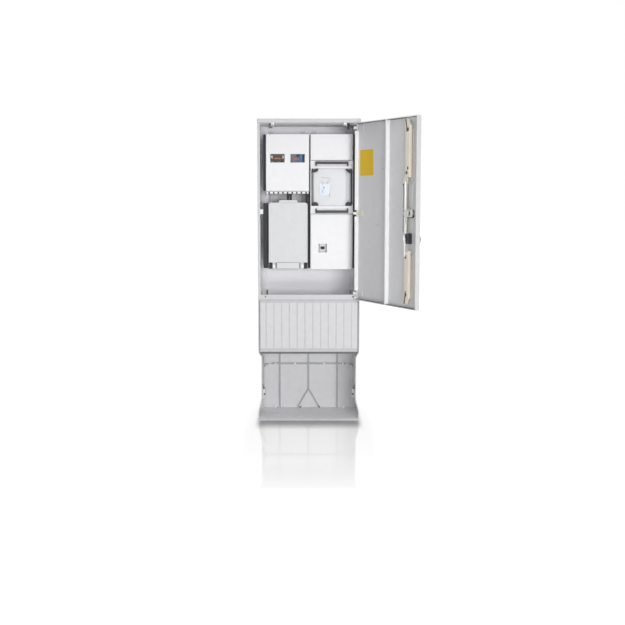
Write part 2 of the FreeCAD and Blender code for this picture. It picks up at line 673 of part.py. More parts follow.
left_across = ("-left_outer", "left_inner")
right_across = ("right_inner", "right_outer")
window_up = ("window_low", "window_high")
upper_left_up = ("upper_left_low", "upper_top")
upper_right_up = ("upper_right_low", "upper_top")
lower_right_up = ("lower_low", "lower_top")
tray("upper_left_tray", left_across, upper_left_up)
cover("upper_left_cover", left_across, upper_left_up, "cover_round",
      [(("-window_1", "-window_1 + window_wide"), window_up),
       (("-window_2", "-window_2 + window_wide"), window_up)])
tray("upper_right_tray", right_across, upper_right_up)
cover("upper_right_cover", right_across, upper_right_up, "right_round")
tray("lower_right_tray", right_across, lower_right_up)
cover("lower_right_cover", right_across, lower_right_up, "right_round",
      [(("window_3", "window_3 + window_3_wide"), ("window_3_low", "window_3_high"))])
cover_screw = drum("cover_screw_head_piece", "cover_screw_radius", "cover_screw_head",
                   ("-left_outer + cover_screw_side", "cover_front - cover_screw_head",
                    "upper_top - cover_screw_drop"), "y")


def device_rail(name, across, middle):
    """A top hat rail on two legs that stand on the floor of the tray."""
    legs = []
    for index, (low, high) in enumerate(((across[0], f"{across[0]} + hat_leg"),
                                         (f"{across[1]} - hat_leg", across[1]))):
        legs.append(block(f"{name}_leg_{index}", (low, high), ("device_back", "tray_floor"),
                          around(middle, "hat_half / 2")))
    face = block(name + "_face", across, ("device_back", "device_back + hat_thickness"),
                 around(middle, "hat_half"))
    return join(name + "_bar", face, *legs)


left_rail_span = ("-left_outer + cover_round + hat_leg", "-cover_round")
right_rail_span = ("right_inner + hat_leg", "right_outer - hat_leg")
node("device_rails", group("device_rail_group",
                           device_rail("upper_device_rail", left_rail_span, "window_middle"),
                           device_rail("lower_device_rail", right_rail_span, "switch_middle")))

device_deep = ("device_front", "device_back")
terminal_up = ("window_middle - device_low", "window_middle + terminal_top")
terminal_spots = []


def terminal_block(name, left, count):
    """A row of terminals with a funnel for each clamping screw."""
    main = block(name + "_main", (left, f"{left} + terminal_pitch * {count}"), device_deep,
                 terminal_up)
    tools = []
    for index in range(count):
        place = f"{left} + terminal_pitch * {index + 0.5}"
        terminal_spots.append(place)
        tools.append(drum(f"{name}_funnel_{index}", "funnel_radius", "funnel_deep + cut_margin",
                          (place, "device_front - cut_margin", "window_middle"), "y"))
        if index:
            tools.append(block(f"{name}_slit_{index}",
                               around(f"{left} + terminal_pitch * {index}", "slit / 2"),
                               ("device_front - cut_margin", "device_front + slit"),
                               (f"{terminal_up[0]} - cut_margin",
                                f"{terminal_up[1]} + cut_margin")))
    return node(name, cut(name + "_body", main, *tools))


line_left = "-window_1 + window_wide / 2 - terminal_pitch * 2"
neutral_left = "-window_2 + window_wide / 2"
terminal_block("line_terminal_block", line_left, 4)
terminal_block("neutral_terminal_block", neutral_left, 1)
node("terminal_screws", group("clamp_screws", *[
    drum(f"clamp_screw_{index}", "funnel_radius - part_clearance", "funnel_deep / 2",
         (place, "device_front + funnel_deep / 2", "window_middle"), "y")
    for index, place in enumerate(terminal_spots)]))
above_up = ("window_middle + terminal_top", "window_middle + device_high")
fuse_bridge = block("fuse_bridge", (line_left, f"{line_left} + terminal_pitch * 4"), device_deep,
                    above_up)
node("control_module", block("module", (f"{neutral_left} - module_gap - module_wide",
                                        f"{neutral_left} - module_gap"), device_deep,
                             ("window_middle - device_high", "window_middle + device_high")))
end_block = block("end_block", (f"{neutral_left} + terminal_pitch + module_gap",
                                f"{neutral_left} + terminal_pitch + module_gap + end_module"),
                  device_deep, ("window_middle - device_high", "window_middle + device_high"))
node("black_modules", group("black_module_group", fuse_bridge, end_block))

# Small service switch with its toggle behind the lower right window

toggle_y = "device_front + switch_gap"
switch_body = block("switch_body", around("switch_across", "switch_wide / 2"),
                    (f"{toggle_y} - toggle_radius / 2", "device_back"),
                    around("switch_middle", "device_high"))
toggle_span = "toggle_half + part_clearance"
toggle_left = f"switch_across - toggle_half - toggle_pin"
toggle_room = drum("toggle_room", "toggle_radius + part_clearance", f"2 * ({toggle_span})",
                   (f"switch_across - ({toggle_span})", toggle_y, "switch_middle"), "x")
toggle_mouth = block("toggle_mouth", around("switch_across", toggle_span),
                     (f"{toggle_y} - toggle_reach", toggle_y),
                     around("switch_middle", "toggle_radius + part_clearance"))
toggle_bore = drum("toggle_bore", "toggle_pin_radius + pin_clearance",
                   "2 * toggle_half + 2 * toggle_pin + part_clearance",
                   (f"{toggle_left} - part_clearance / 2", toggle_y, "switch_middle"), "x")
node("service_switch", cut("switch_case", switch_body, toggle_room, toggle_mouth, toggle_bore))
node("service_switch_toggle", join(
    "toggle", drum("toggle_drum", "toggle_radius", "2 * toggle_half",
                   ("switch_across - toggle_half", toggle_y, "switch_middle"), "x"),
    drum("toggle_stub", "toggle_pin_radius", "2 * toggle_half + 2 * toggle_pin",
         (toggle_left, toggle_y, "switch_middle"), "x"),
    block("toggle_lever", around("switch_across", "toggle_half"),
          (f"{toggle_y} - toggle_reach", toggle_y), around("switch_middle", "toggle_grip / 2"))))

# Meter place: board, transparent hood, black frame, clamp bars and bails

meter_up = ("lower_top + meter_gap", "upper_right_low - meter_gap")
node("meter_board", cut("meter_tray",
                        block("meter_block", right_across, ("meter_face", "support_front"),
                              meter_up),
                        block("meter_room", ("right_inner + cover_wall",
                                             "right_outer - cover_wall"),
                              ("meter_face + cover_wall", "support_front + cut_margin"),
                              (f"{meter_up[0]} + cover_wall", f"{meter_up[1]} - cover_wall"))))


def hood_plan(offset):
    return [(f"hood_left + {offset}", "meter_face"),
            (f"hood_left + hood_lean + {offset} / 2", f"hood_front + {offset}"),
            (f"hood_right - hood_lean - hood_bevel", f"hood_front + {offset}"),
            (f"hood_right - hood_lean - {offset}", "hood_front + hood_bevel_deep"),
            (f"hood_right - {offset}", "meter_face")]


CORNERS = (("left", "low"), ("left", "high"), ("right", "low"), ("right", "high"))


def hood_corner(name, side, end, grow):
    """A corner block of the hood's frame, or the slightly larger room it stands in."""
    across = (f"hood_left - {grow}", f"hood_left + corner_wide + {grow}") if side == "left" \
        else (f"hood_right - corner_wide - {grow}", f"hood_right + {grow}")
    up = (f"hood_low - {grow}", f"hood_low + corner_tall + {grow}") if end == "low" \
        else (f"hood_high - corner_tall - {grow}", f"hood_high + {grow}")
    return block(f"{name}_{side}_{end}", across,
                 (f"meter_face - corner_deep - {grow}", f"meter_face + {grow}"), up)


hood_cuts = [hood_corner("hood_cut", side, end, "part_clearance") for side, end in CORNERS]
node("meter_hood", cut("hood", plate("hood_block", "plan", hood_plan("0"), "hood_low", "hood_high"),
                       plate("hood_room", "plan", hood_plan("hood_wall"), "hood_low + hood_wall",
                             "hood_high - hood_wall"), *hood_cuts))
frame_sides = []
for side, span in (("left", ("hood_left - frame_wide", "hood_left")),
                   ("right", ("hood_right", "hood_right + frame_wide"))):
    strip = block(f"frame_strip_{side}", span, ("meter_face - frame_wide", "meter_face"),
                  ("hood_low", "hood_high"))
    frame_sides.append(join(f"frame_{side}", strip,
                            *[hood_corner("frame_corner", side, end, "0")
                              for end in ("low", "high")]))
node("meter_hood_frame", group("hood_frame", *frame_sides))


clamp_bars = []


def clamp_bar(name, low, side):
    """A white bar across the hood's end with a lug for each leg of its bail."""
    bar_up = (low, f"{low} + clamp_tall")
    pivot = f"{bar_up[1]} + bail_thick / 2 + bail_gap" if side > 0 \
        else f"{bar_up[0]} - bail_thick / 2 - bail_gap"
    pieces = [block(name + "_bar", ("right_inner + meter_gap", "right_outer - meter_gap"),
                    ("clamp_front", "meter_face"), bar_up)]
    bores = []
    for index, near in enumerate(("bail_left - bail_gap - lug_wide", "bail_right + bail_gap")):
        up = (f"{bar_up[1]} - cut_margin", f"{pivot} + bail_thick / 2") if side > 0 \
            else (f"{pivot} - bail_thick / 2", f"{bar_up[0]} + cut_margin")
        pieces.append(block(f"{name}_lug_{index}", (near, f"{near} + lug_wide"),
                            ("clamp_front", "clamp_front + bail_thick"), up))
        bores.append(drum(f"{name}_bore_{index}", "pin_radius + pin_clearance",
                          "lug_wide + 2 * cut_margin", (f"{near} - cut_margin", "bail_y", pivot),
                          "x"))
    clamp_bars.append(cut(name + "_bored", join(name + "_lugged", *pieces), *bores))
    return pivot


def bail(name, pivot, side):
    """A black bail: a bar between two legs that turn on stub pins in the lugs."""
    deep = around("bail_y", "bail_thick / 2")
    bar_up = (f"{pivot} + bail_rise - bail_bar", f"{pivot} + bail_rise") if side > 0 \
        else (f"{pivot} - bail_rise", f"{pivot} - bail_rise + bail_bar")
    leg_up = (pivot, bar_up[1]) if side > 0 else (bar_up[0], pivot)
    pieces = [block(name + "_bar", ("bail_left", "bail_right"), deep, bar_up)]
    for index, (near, stub) in enumerate((("bail_left", "bail_left - bail_pin"),
                                          ("bail_right - bail_thick", "bail_right - cut_margin"))):
        pieces.append(block(f"{name}_leg_{index}", (near, f"{near} + bail_thick"), deep, leg_up))
        pieces.append(drum(f"{name}_foot_{index}", "bail_thick / 2", "bail_thick",
                           (near, "bail_y", pivot), "x"))
        pieces.append(drum(f"{name}_stub_{index}", "pin_radius", "bail_pin + cut_margin",
                           (stub, "bail_y", pivot), "x"))
    return node(name, join(name + "_all", *pieces))


bail("upper_bail", clamp_bar("upper_clamp_bar", "hood_high", 1), 1)
bail("lower_bail", clamp_bar("lower_clamp_bar", "hood_low - clamp_tall", -1), -1)
node("clamp_bars", group("clamp_bar_group", *clamp_bars))

# Service box with its cover, screws, fuses and riser glands


def box_outline(offset):
    return rectangle((f"-box_left + {offset}", f"box_low + {offset}"),
                     (f"-box_right - {offset}", f"box_high - {offset}"), f"box_round - {offset}")


node("service_box_tray", cut("box_tray",
                             plate("box_block", "face", box_outline("0"), "lid_back",
                                   "support_front"),
                             plate("box_room", "face", box_outline("cover_wall"),
                                   "lid_back - cut_margin", "tray_floor")))
recess_low = "box_low - cut_margin"
recess_spans = (("left", "-box_left - cut_margin", "-recess_left"),
                ("right", "-recess_right", "-box_right + cut_margin"))


def recesses(name, near, far, grow):
    """The two set-back lower corners, grown by a wall where they bound the room inside."""
    return [block(f"{name}_{side}", (f"{low} - {grow}", f"{high} + {grow}"),
                  (near, f"{far} + {grow}"), (recess_low, f"recess_high + {grow}"))
            for side, low, high in recess_spans]


lid_outside = cut("lid_outside", plate("lid_block", "face", box_outline("0"), "cover_front",
                                       "lid_back"),
                  *recesses("recess", "cover_front - cut_margin", "shelf_face", "0"))
lid_inside = cut("lid_inside", plate("lid_room", "face", box_outline("cover_wall"),
                                     "cover_front + cover_wall", "lid_back + cut_margin"),
                 *recesses("recess_wall", "cover_front", "shelf_face", "cover_wall"))
tab_cut = block("tab_cut", ("-recess_left + tab_line", "-recess_right - tab_line"),
                ("cover_front - cut_margin", "cover_front + cover_wall / 2"),
                ("recess_high", "recess_high + tab_line"))
node("service_box_cover", cut("box_lid", lid_outside, lid_inside, tab_cut))
lid_screws = [drum(f"lid_screw_{index}", "lid_screw_radius", "lid_screw_head",
                   (across, "shelf_face - lid_screw_head", "recess_high - lid_screw_drop"), "y")
              for index, across in enumerate(("-box_left + lid_screw_side",
                                              "-box_right - lid_screw_side"))]
node("cover_screws", group("cover_screw_group", cover_screw, *lid_screws))

fuse_bases, fuse_links = [], []
for index in (-1, 0, 1):
    across = f"fuse_across + fuse_pitch * {index}"
    fuse_bases.append(block(f"fuse_base_{index + 1}", around(across, "fuse_half"),
                            ("fuse_front", "tray_floor"), around("fuse_middle", "fuse_tall / 2")))
    fuse_links.append(block(f"fuse_link_{index + 1}", around(across, "link_half"),
                            ("fuse_front - link_deep", "fuse_front"),
                            around("fuse_middle", "link_tall / 2")))
node("fuse_bases", group("fuse_holders", *fuse_bases))
node("fuse_links", group("fuse_cartridges", *fuse_links))
node("riser_collar", plate("collar", "face", [
    ("-arch_left", "box_high"), ("-arch_right", "box_high"),
    ("-arch_right", "box_high + arch_rise", "arch_rise - cut_margin"),
    ("-arch_left", "box_high + arch_rise", "arch_rise - cut_margin")],
    "gland_y - arch_deep / 2", "gland_y + arch_deep / 2"))
glands = [drum(f"gland_{index}", "gland_radius", "upper_left_low - box_high - arch_rise",
               (f"-gland_left + gland_pitch * {index}", "gland_y", "box_high + arch_rise"))
          for index in range(2)]
node("riser_glands", group("glands", *glands))

comb_deep = ("cover_front + cover_wall", "cover_front + cover_wall + comb_deep")
comb_cuts = []
for index in range(9):
    place = f"-left_outer + comb_pitch * {index + 0.5}"
    comb_cuts.append(block(f"comb_cut_{index}", (place, f"{place} + comb_notch"),
                           (f"{comb_deep[0]} - cut_margin", f"{comb_deep[1]} + cut_margin"),
                           ("upper_left_low - comb_tall - cut_margin",
                            "upper_left_low - comb_tall / 3")))
node("cable_entry_comb", cut("comb", block("comb_bar", ("-left_outer + cover_wall",
                                                       "left_inner - cover_wall"), comb_deep,
                                           ("upper_left_low - comb_tall", "upper_left_low")),
                             *comb_cuts))

# Door: one moulding with flanges and a stiffening rib, hung on three hinges

HINGES = (("low", "hinge_low"), ("middle", "hinge_middle"), ("high", "hinge_high"))
rib_left, rib_right = "-door_rib_offset - door_rib_width", "-door_rib_offset"
door_section = plate("door_section", "plan", [
    ("-half", "door_front", "door_edge_round"), ("door_edge", "door_front", "door_edge_round"),
    ("door_edge", "door_inside"), ("hinge_x", "door_inside"), ("hinge_x", "door_back"),
    ("hinge_x - door_flange", "door_back"), ("hinge_x - door_flange", "door_inside"),
    (rib_right, "door_inside"), (rib_right, "door_back"), (rib_left, "door_back"),
    (rib_left, "door_inside"), ("-half + door_free_flange", "door_inside"),
    ("-half + door_free_flange", "door_back"), ("-half", "door_back")], "door_low", "door_high")
door_pieces, door_cuts = [door_section], []
for index, up in enumerate((("door_low", "door_low + door_end_flange"),
                            ("door_high - door_end_flange", "door_high"))):
    door_pieces.append(block(f"door_end_{index}",
                             ("-half + door_free_flange / 2", "hinge_x - door_flange / 2"),
                             ("door_inside - door_skin / 2", "door_back"), up))
for name, middle in HINGES:
    door_cuts.append(block(f"door_notch_{name}",
                           ("hinge_x - door_flange - cut_margin", "hinge_x + cut_margin"),
                           ("door_inside", "door_back + cut_margin"),
                           around(middle, "notch_half")))
door_cuts.append(drum("door_shaft_hole", "shaft_radius + pin_clearance",
                      "door_skin + 2 * cut_margin",
                      ("-rod_across", "door_front - cut_margin", "lock_height"), "y"))
node("door_panel", cut("door", join("door_tray", *door_pieces), *door_cuts), True)

brackets, leaves, pins = [], [], []
arm = ("hinge_x - arm_inset - arm_width", "hinge_x - arm_inset")
for name, middle in HINGES:
    up = around(middle, "knuckle_tall / 2")
    pieces = [drum(f"knuckle_{name}", "knuckle_radius", "knuckle_tall",
                   ("hinge_x", "hinge_y", up[0])),
              block(f"web_{name}", (arm[0], "hinge_x"), around("hinge_y", "arm_half"), up),
              block(f"arm_{name}", arm, ("hinge_y - arm_half", "front + foot_end"), up),
              block(f"foot_{name}", (arm[0], "inner_half"),
                    ("front + foot_start", "front + foot_end"), up)]
    brackets.append(cut(f"bracket_{name}", join(f"bracket_solid_{name}", *pieces),
                        drum(f"bracket_bore_{name}", "pin_radius + pin_clearance",
                             "knuckle_tall + 2 * cut_margin",
                             ("hinge_x", "hinge_y", f"{up[0]} - cut_margin"))))
    ear_low = (f"{up[0]} - part_clearance - ear_tall", f"{up[0]} - part_clearance")
    ear_high = (f"{up[1]} + part_clearance", f"{up[1]} + part_clearance + ear_tall")
    plate_end = "hinge_x - leaf_inset"
    pieces = [block(f"leaf_plate_{name}", (f"{plate_end} - leaf_width", plate_end),
                    ("door_inside", "door_inside + leaf_thickness"), (ear_low[0], ear_high[1]))]
    for index, ear in enumerate((ear_low, ear_high)):
        pieces.append(block(f"leaf_ear_{name}_{index}", (f"{plate_end} - cut_margin", "hinge_x"),
                            ("door_inside", "hinge_y + arm_half"), ear))
        pieces.append(drum(f"leaf_knuckle_{name}_{index}", "knuckle_radius", "ear_tall",
                           ("hinge_x", "hinge_y", ear[0])))
    pin_tall = "knuckle_tall + 2 * part_clearance + 2 * ear_tall"
    leaves.append(cut(f"leaf_{name}", join(f"leaf_solid_{name}", *pieces),
                      drum(f"leaf_bore_{name}", "pin_radius", f"{pin_tall} + 2 * cut_margin",
                           ("hinge_x", "hinge_y", f"{ear_low[0]} - cut_margin"))))
    pins.append(drum(f"pin_{name}", "pin_radius", pin_tall, ("hinge_x", "hinge_y", ear_low[0])))
node("hinge_brackets", group("brackets", *brackets))
node("hinge_leaves", group("leaves", *leaves), True)
node("hinge_pins", group("pins", *pins), True)

# Lock rods with forked ends


def rod(name, tip, side, end, slots):
    """A rod whose outer prong stays short of its inner one, which leans into the cabinet."""
    def up(distance):
        return f"{tip} - {side} * ({distance})"

    def order(first, second):
        return (first, second) if side > 0 else (second, first)
    foot, straight = up("fork_length"), up("fork_straight")
    corners = [("rod_face - prong_deep", foot), ("rod_face", foot),
               ("front + prong_far", straight), ("front + prong_far", tip),
               ("front + prong_near", tip), ("front + prong_near", straight)]
    prong = plate(name + "_prong", "side", corners if side > 0 else list(reversed(corners)),
                  *around("-rod_across", "prong_half"))
    outer_deep = ("rod_back", "rod_back + prong_deep - cut_margin")
    pieces = [prong,
              block(name + "_bar", around("-rod_across", "rod_half"), ("rod_back", "rod_face"),
                    order(end, foot)),
              block(name + "_outer_prong", around("-rod_across", "rod_half"), outer_deep,
                    order(foot, up("outer_prong_drop"))),
              block(name + "_flare", around("-rod_across", "flare_half"), outer_deep,
                    order(up("flare_start"), up("flare_end")))]
    cuts = [block(f"{name}_slot_{index}", around("-rod_across", "slot_half"),
                  ("rod_face - slot_depth", "rod_face + cut_margin"), (low, f"{low} + slot_tall"))
            for index, low in enumerate(slots)]
    return pieces, cuts


pieces, cuts = rod("upper", "tip_high", 1, "upper_rod_end", ("slot_1", "slot_2"))
pieces.append(plate("upper_link", "face", [
    ("-rod_across - rod_half", "upper_rod_end"),
    ("-rod_across - rod_half", "link_end", "rod_half - cut_margin"),
    ("-rod_across + rod_half", "link_end", "rod_half - cut_margin"),
    ("-rod_across + rod_half", "upper_rod_end")], "rod_face - link_thickness", "rod_face"))
cuts.append(drum("link_hole", "slot_half", "link_thickness + 2 * cut_margin",
                 ("-rod_across", "rod_face - link_thickness - cut_margin",
                  "link_end + slot_half + slot_half / 2"), "y"))
node("upper_rod", cut("upper_rod_all", join("upper_rod_solid", *pieces), *cuts), True)
pieces, cuts = rod("lower", "tip_low", -1, "lower_rod_end", ("slot_3",))
node("lower_rod", cut("lower_rod_all", join("lower_rod_solid", *pieces), *cuts), True)

bar_span = around("-rod_across", "bar_half")
node("upper_drive_bar", block("drive_bar", bar_span, ("rod_face", "rod_face + bar_thickness"),
                              ("case_high + part_clearance", "link_end + bar_overlap")), True)
link_deep = ("rod_face + bar_thickness", "rod_face + 2 * bar_thickness")
node("lower_link", join("link", block("link_plate", bar_span, link_deep,
                                      ("lower_rod_end - link_overlap", "lock_height - link_rise")),
                        block("link_foot", bar_span, ("rod_face", link_deep[1]),
                              ("lower_rod_end - link_overlap", "lower_rod_end - cut_margin"))),
     True)

guides = []
for index, low in enumerate(("guide_1", "guide_2", "guide_3", "guide_4")):
    inner = "rod_half + part_clearance"
    guides.append(cut(f"guide_piece_{index}",
                      block(f"guide_block_{index}", around("-rod_across", f"{inner} + guide_wall"),
                            ("door_inside", "rod_back + guide_grip"), (low, f"{low} + guide_tall")),
                      block(f"guide_room_{index}", around("-rod_across", inner),
                            ("rod_back - part_clearance", "rod_back + guide_grip + cut_margin"),
                            (f"{low} - cut_margin", f"{low} + guide_tall + cut_margin"))))
node("rod_guides", group("guides", *guides), True)

case = plate("case_block", "face", [
    ("-rod_across - rod_half", "case_low + lock_chamfer"),
    ("-rod_across - rod_half + lock_chamfer", "case_low"),
    ("-rod_across + rod_half", "case_low"), ("-rod_across + rod_half", "case_high"),
    ("-rod_across - rod_half", "case_high")], "door_inside", "door_inside + case_deep")
node("lock_case", cut("lock_case_bored", case,
                      drum("case_bore", "shaft_radius + pin_clearance", "case_deep + 2 * cut_margin",
                           ("-rod_across", "door_inside - cut_margin", "lock_height"), "y")), True)
lever_front = "door_front - plate_thickness - lever_gap - lever_thickness"
node("lock_cam", join("cam",
                      drum("cam_shaft", "shaft_radius",
                           f"cam_back + cam_thickness - ({lever_front} + lever_thickness / 2)",
                           ("-rod_across", f"{lever_front} + lever_thickness / 2", "lock_height"),
                           "y"),
                      drum("cam_disc", "cam_radius", "cam_thickness",
                           ("-rod_across", "cam_back", "lock_height"), "y"),
                      block("cam_finger", around("-rod_across", "cam_radius / 2"),
                            ("cam_back", "cam_back + cam_thickness"),
                            ("lock_height", "lock_height + cam_nose"))), True)
handle_plate = plate("escutcheon", "face",
                     rectangle(("-rod_across - plate_reach", "lock_height - plate_half"),
                               ("-rod_across + plate_back", "lock_height + plate_half"),
                               "plate_round"), "door_front - plate_thickness", "door_front")
plate_hole = drum("plate_hole", "shaft_radius + pin_clearance", "plate_thickness + 2 * cut_margin",
                  ("-rod_across", "door_front - plate_thickness - cut_margin", "lock_height"), "y")
node("handle_plate", cut("handle_plate_bored", handle_plate, plate_hole), True)
lever = plate("lever_block", "face",
              rectangle(("-rod_across - lever_reach", "lock_height - lever_half"),
                        ("-rod_across + lever_back", "lock_height + lever_half"), "lever_round"),
              lever_front, f"{lever_front} + lever_thickness")
node("door_handle", cut("handle", lever,
                        drum("lever_hole", "shaft_radius", "lever_thickness / 2 + cut_margin",
                             ("-rod_across", f"{lever_front} + lever_thickness / 2",
                              "lock_height"), "y")), True)

# Middle latch: a ring plate whose nose turns behind the keeper on the left wall

latch_y = "front + latch_stand"
base_high = "door_inside + latch_base_deep"
latch_base = cut("latch_base_bored",
                 drum("latch_base_drum", "latch_base", "latch_base_deep",
                      ("-latch_across", "door_inside", "latch_height"), "y"),
                 drum("latch_bore", "latch_hub + pin_clearance", "latch_base_deep / 2 + cut_margin",
                      ("-latch_across", "door_inside + latch_base_deep / 2", "latch_height"), "y"))
node("mid_latch_base", latch_base, True)
node("mid_latch", join("latch",
                       drum("latch_ring", "latch_radius", "latch_thickness",
                            ("-latch_across", latch_y, "latch_height"), "y"),
                       block("latch_finger", around("-latch_across", "latch_nose_half"),
                             (latch_y, f"{latch_y} + latch_thickness"),
                             ("latch_height - latch_nose", "latch_height")),
                       drum("latch_shaft", "latch_hub",
                            f"{latch_y} + latch_thickness / 2 - (door_inside"
                            " + latch_base_deep / 2 + part_clearance)",
                            ("-latch_across", "door_inside + latch_base_deep / 2 + part_clearance",
                             "latch_height"), "y")), True)
node("door_catch", plate("catch", "face", [
    ("-half + door_free_flange", "latch_height - catch_half"),
    ("-half + door_free_flange + catch_reach", "latch_height - catch_half", "catch_round"),
    ("-half + door_free_flange + catch_reach", "latch_height + catch_half", "catch_round"),
    ("-half + door_free_flange", "latch_height + catch_half")],
    "door_inside", "door_inside + catch_deep"), True)
catch_end = "-half + door_free_flange + catch_reach"
node("catch_buffer", block("buffer", (catch_end, f"{catch_end} + buffer_wide"),
                           ("door_inside", "door_inside + buffer_deep"),
                           around("latch_height", "buffer_half")), True)
node("label_plate", block("label", ("label_right", "label_left"),
                          ("door_inside", "door_inside + label_thickness"),
                          ("label_low", "label_high")), True)

doc.recompute()
os.makedirs("parts", exist_ok=True)
faults = []
for item in doc.Objects:
    if "Invalid" in item.State or "Error" in item.State:
        faults.append(f"{item.Name}: {item.State}")
for item in NODES:
    if item.Shape.isNull() or not item.Shape.isValid():
        faults.append(f"{item.Label}: no valid solid")
if faults:
    raise RuntimeError("; ".join(faults))
for item in NODES:
    item.Shape.exportStep(os.path.join("parts", item.Label + ".step"))
    print(item.Label, len(item.Shape.Solids), round(item.Shape.Volume))
print(len(NODES), "nodes")
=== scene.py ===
import json
import math

import bmesh
import bpy
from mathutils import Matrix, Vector


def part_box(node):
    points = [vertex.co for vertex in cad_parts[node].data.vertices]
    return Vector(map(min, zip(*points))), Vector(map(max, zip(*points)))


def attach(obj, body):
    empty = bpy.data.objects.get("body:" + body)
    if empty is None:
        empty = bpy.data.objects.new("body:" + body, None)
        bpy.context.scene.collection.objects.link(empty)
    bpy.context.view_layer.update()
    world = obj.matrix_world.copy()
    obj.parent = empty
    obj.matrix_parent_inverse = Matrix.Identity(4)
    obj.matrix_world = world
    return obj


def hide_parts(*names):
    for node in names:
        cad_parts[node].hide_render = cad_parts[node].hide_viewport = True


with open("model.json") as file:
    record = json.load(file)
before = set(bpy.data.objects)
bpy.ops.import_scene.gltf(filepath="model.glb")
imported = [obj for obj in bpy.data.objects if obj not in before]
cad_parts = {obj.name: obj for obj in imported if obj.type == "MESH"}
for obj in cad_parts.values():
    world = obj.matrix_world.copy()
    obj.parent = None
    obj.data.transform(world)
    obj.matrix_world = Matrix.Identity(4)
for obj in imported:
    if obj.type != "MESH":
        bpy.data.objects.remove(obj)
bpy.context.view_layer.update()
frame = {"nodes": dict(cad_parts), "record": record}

SCENE = bpy.context.scene
SCENE.view_settings.view_transform = "Standard"
NODES = frame["nodes"]
MM = 1000  # millimetres in a metre

# The door's hinge line in millimetres, and how far the door stands open at rest
HINGE = (266.0, -155.0)
OPEN = math.radians(120.5)

# Surfaces: where the two tones meet, how far the gloss varies, how fine the noises are
TONE_STOPS = (0.32, 0.68)
TONE_SCALE = 30.0
GLOSS_SPREAD = 0.06
GRAIN_SCALE = 700.0
GRAIN_DEEP = 0.0003


def srgb(r, g, b):
    """Linear colour from 8-bit values, by the sRGB curve."""
    out = []
    for value in (r, g, b):
        value /= 255
        out.append(value / 12.92 if value <= 0.04045 else ((value + 0.055) / 1.055) ** 2.4)
    return (*out, 1.0)


def shade(colour, share):
    """The colour made lighter or darker by a share."""
    return (*[min(1.0, value * share) for value in colour[:3]], 1.0)


def surface(name, colour, rough=0.5, metal=0.0, spread=0.05, grain=0.0, extra=None):
    """A moulded, painted or metal surface: two close tones, uneven gloss and a fine grain."""
    mat = bpy.data.materials.new(name)
    mat.use_nodes = True
    tree = mat.node_tree
    shader = tree.nodes["Principled BSDF"]
    shader.inputs["Metallic"].default_value = metal
    place = tree.nodes.new("ShaderNodeTexCoord")
    noise = tree.nodes.new("ShaderNodeTexNoise")
    noise.inputs["Scale"].default_value = TONE_SCALE
    noise.inputs["Detail"].default_value = 4.0
    tree.links.new(place.outputs["Object"], noise.inputs["Vector"])
    ramp = tree.nodes.new("ShaderNodeValToRGB")
    for stop, spot, share in zip(ramp.color_ramp.elements, TONE_STOPS, (1 - spread, 1 + spread)):
        stop.position = spot
        stop.color = shade(colour, share)
    tree.links.new(noise.outputs["Fac"], ramp.inputs["Fac"])
    tree.links.new(ramp.outputs["Color"], shader.inputs["Base Color"])
    gloss = tree.nodes.new("ShaderNodeMapRange")
    gloss.inputs["To Min"].default_value = max(0.05, rough - GLOSS_SPREAD)
    gloss.inputs["To Max"].default_value = min(1.0, rough + GLOSS_SPREAD)
    tree.links.new(noise.outputs["Fac"], gloss.inputs["Value"])
    tree.links.new(gloss.outputs["Result"], shader.inputs["Roughness"])
    if grain:
        fine = tree.nodes.new("ShaderNodeTexNoise")
        fine.inputs["Scale"].default_value = GRAIN_SCALE
        fine.inputs["Detail"].default_value = 2.0
        tree.links.new(place.outputs["Object"], fine.inputs["Vector"])
        bump = tree.nodes.new("ShaderNodeBump")
        bump.inputs["Strength"].default_value = grain
        bump.inputs["Distance"].default_value = GRAIN_DEEP
        tree.links.new(fine.outputs["Fac"], bump.inputs["Height"])
        tree.links.new(bump.outputs["Normal"], shader.inputs["Normal"])
    if extra:
        extra(tree, shader)
    return mat


def clear(tree, shader):
    """See-through moulding of the hood."""
    shader.inputs["Alpha"].default_value = 0.36
    shader.inputs["IOR"].default_value = 1.49


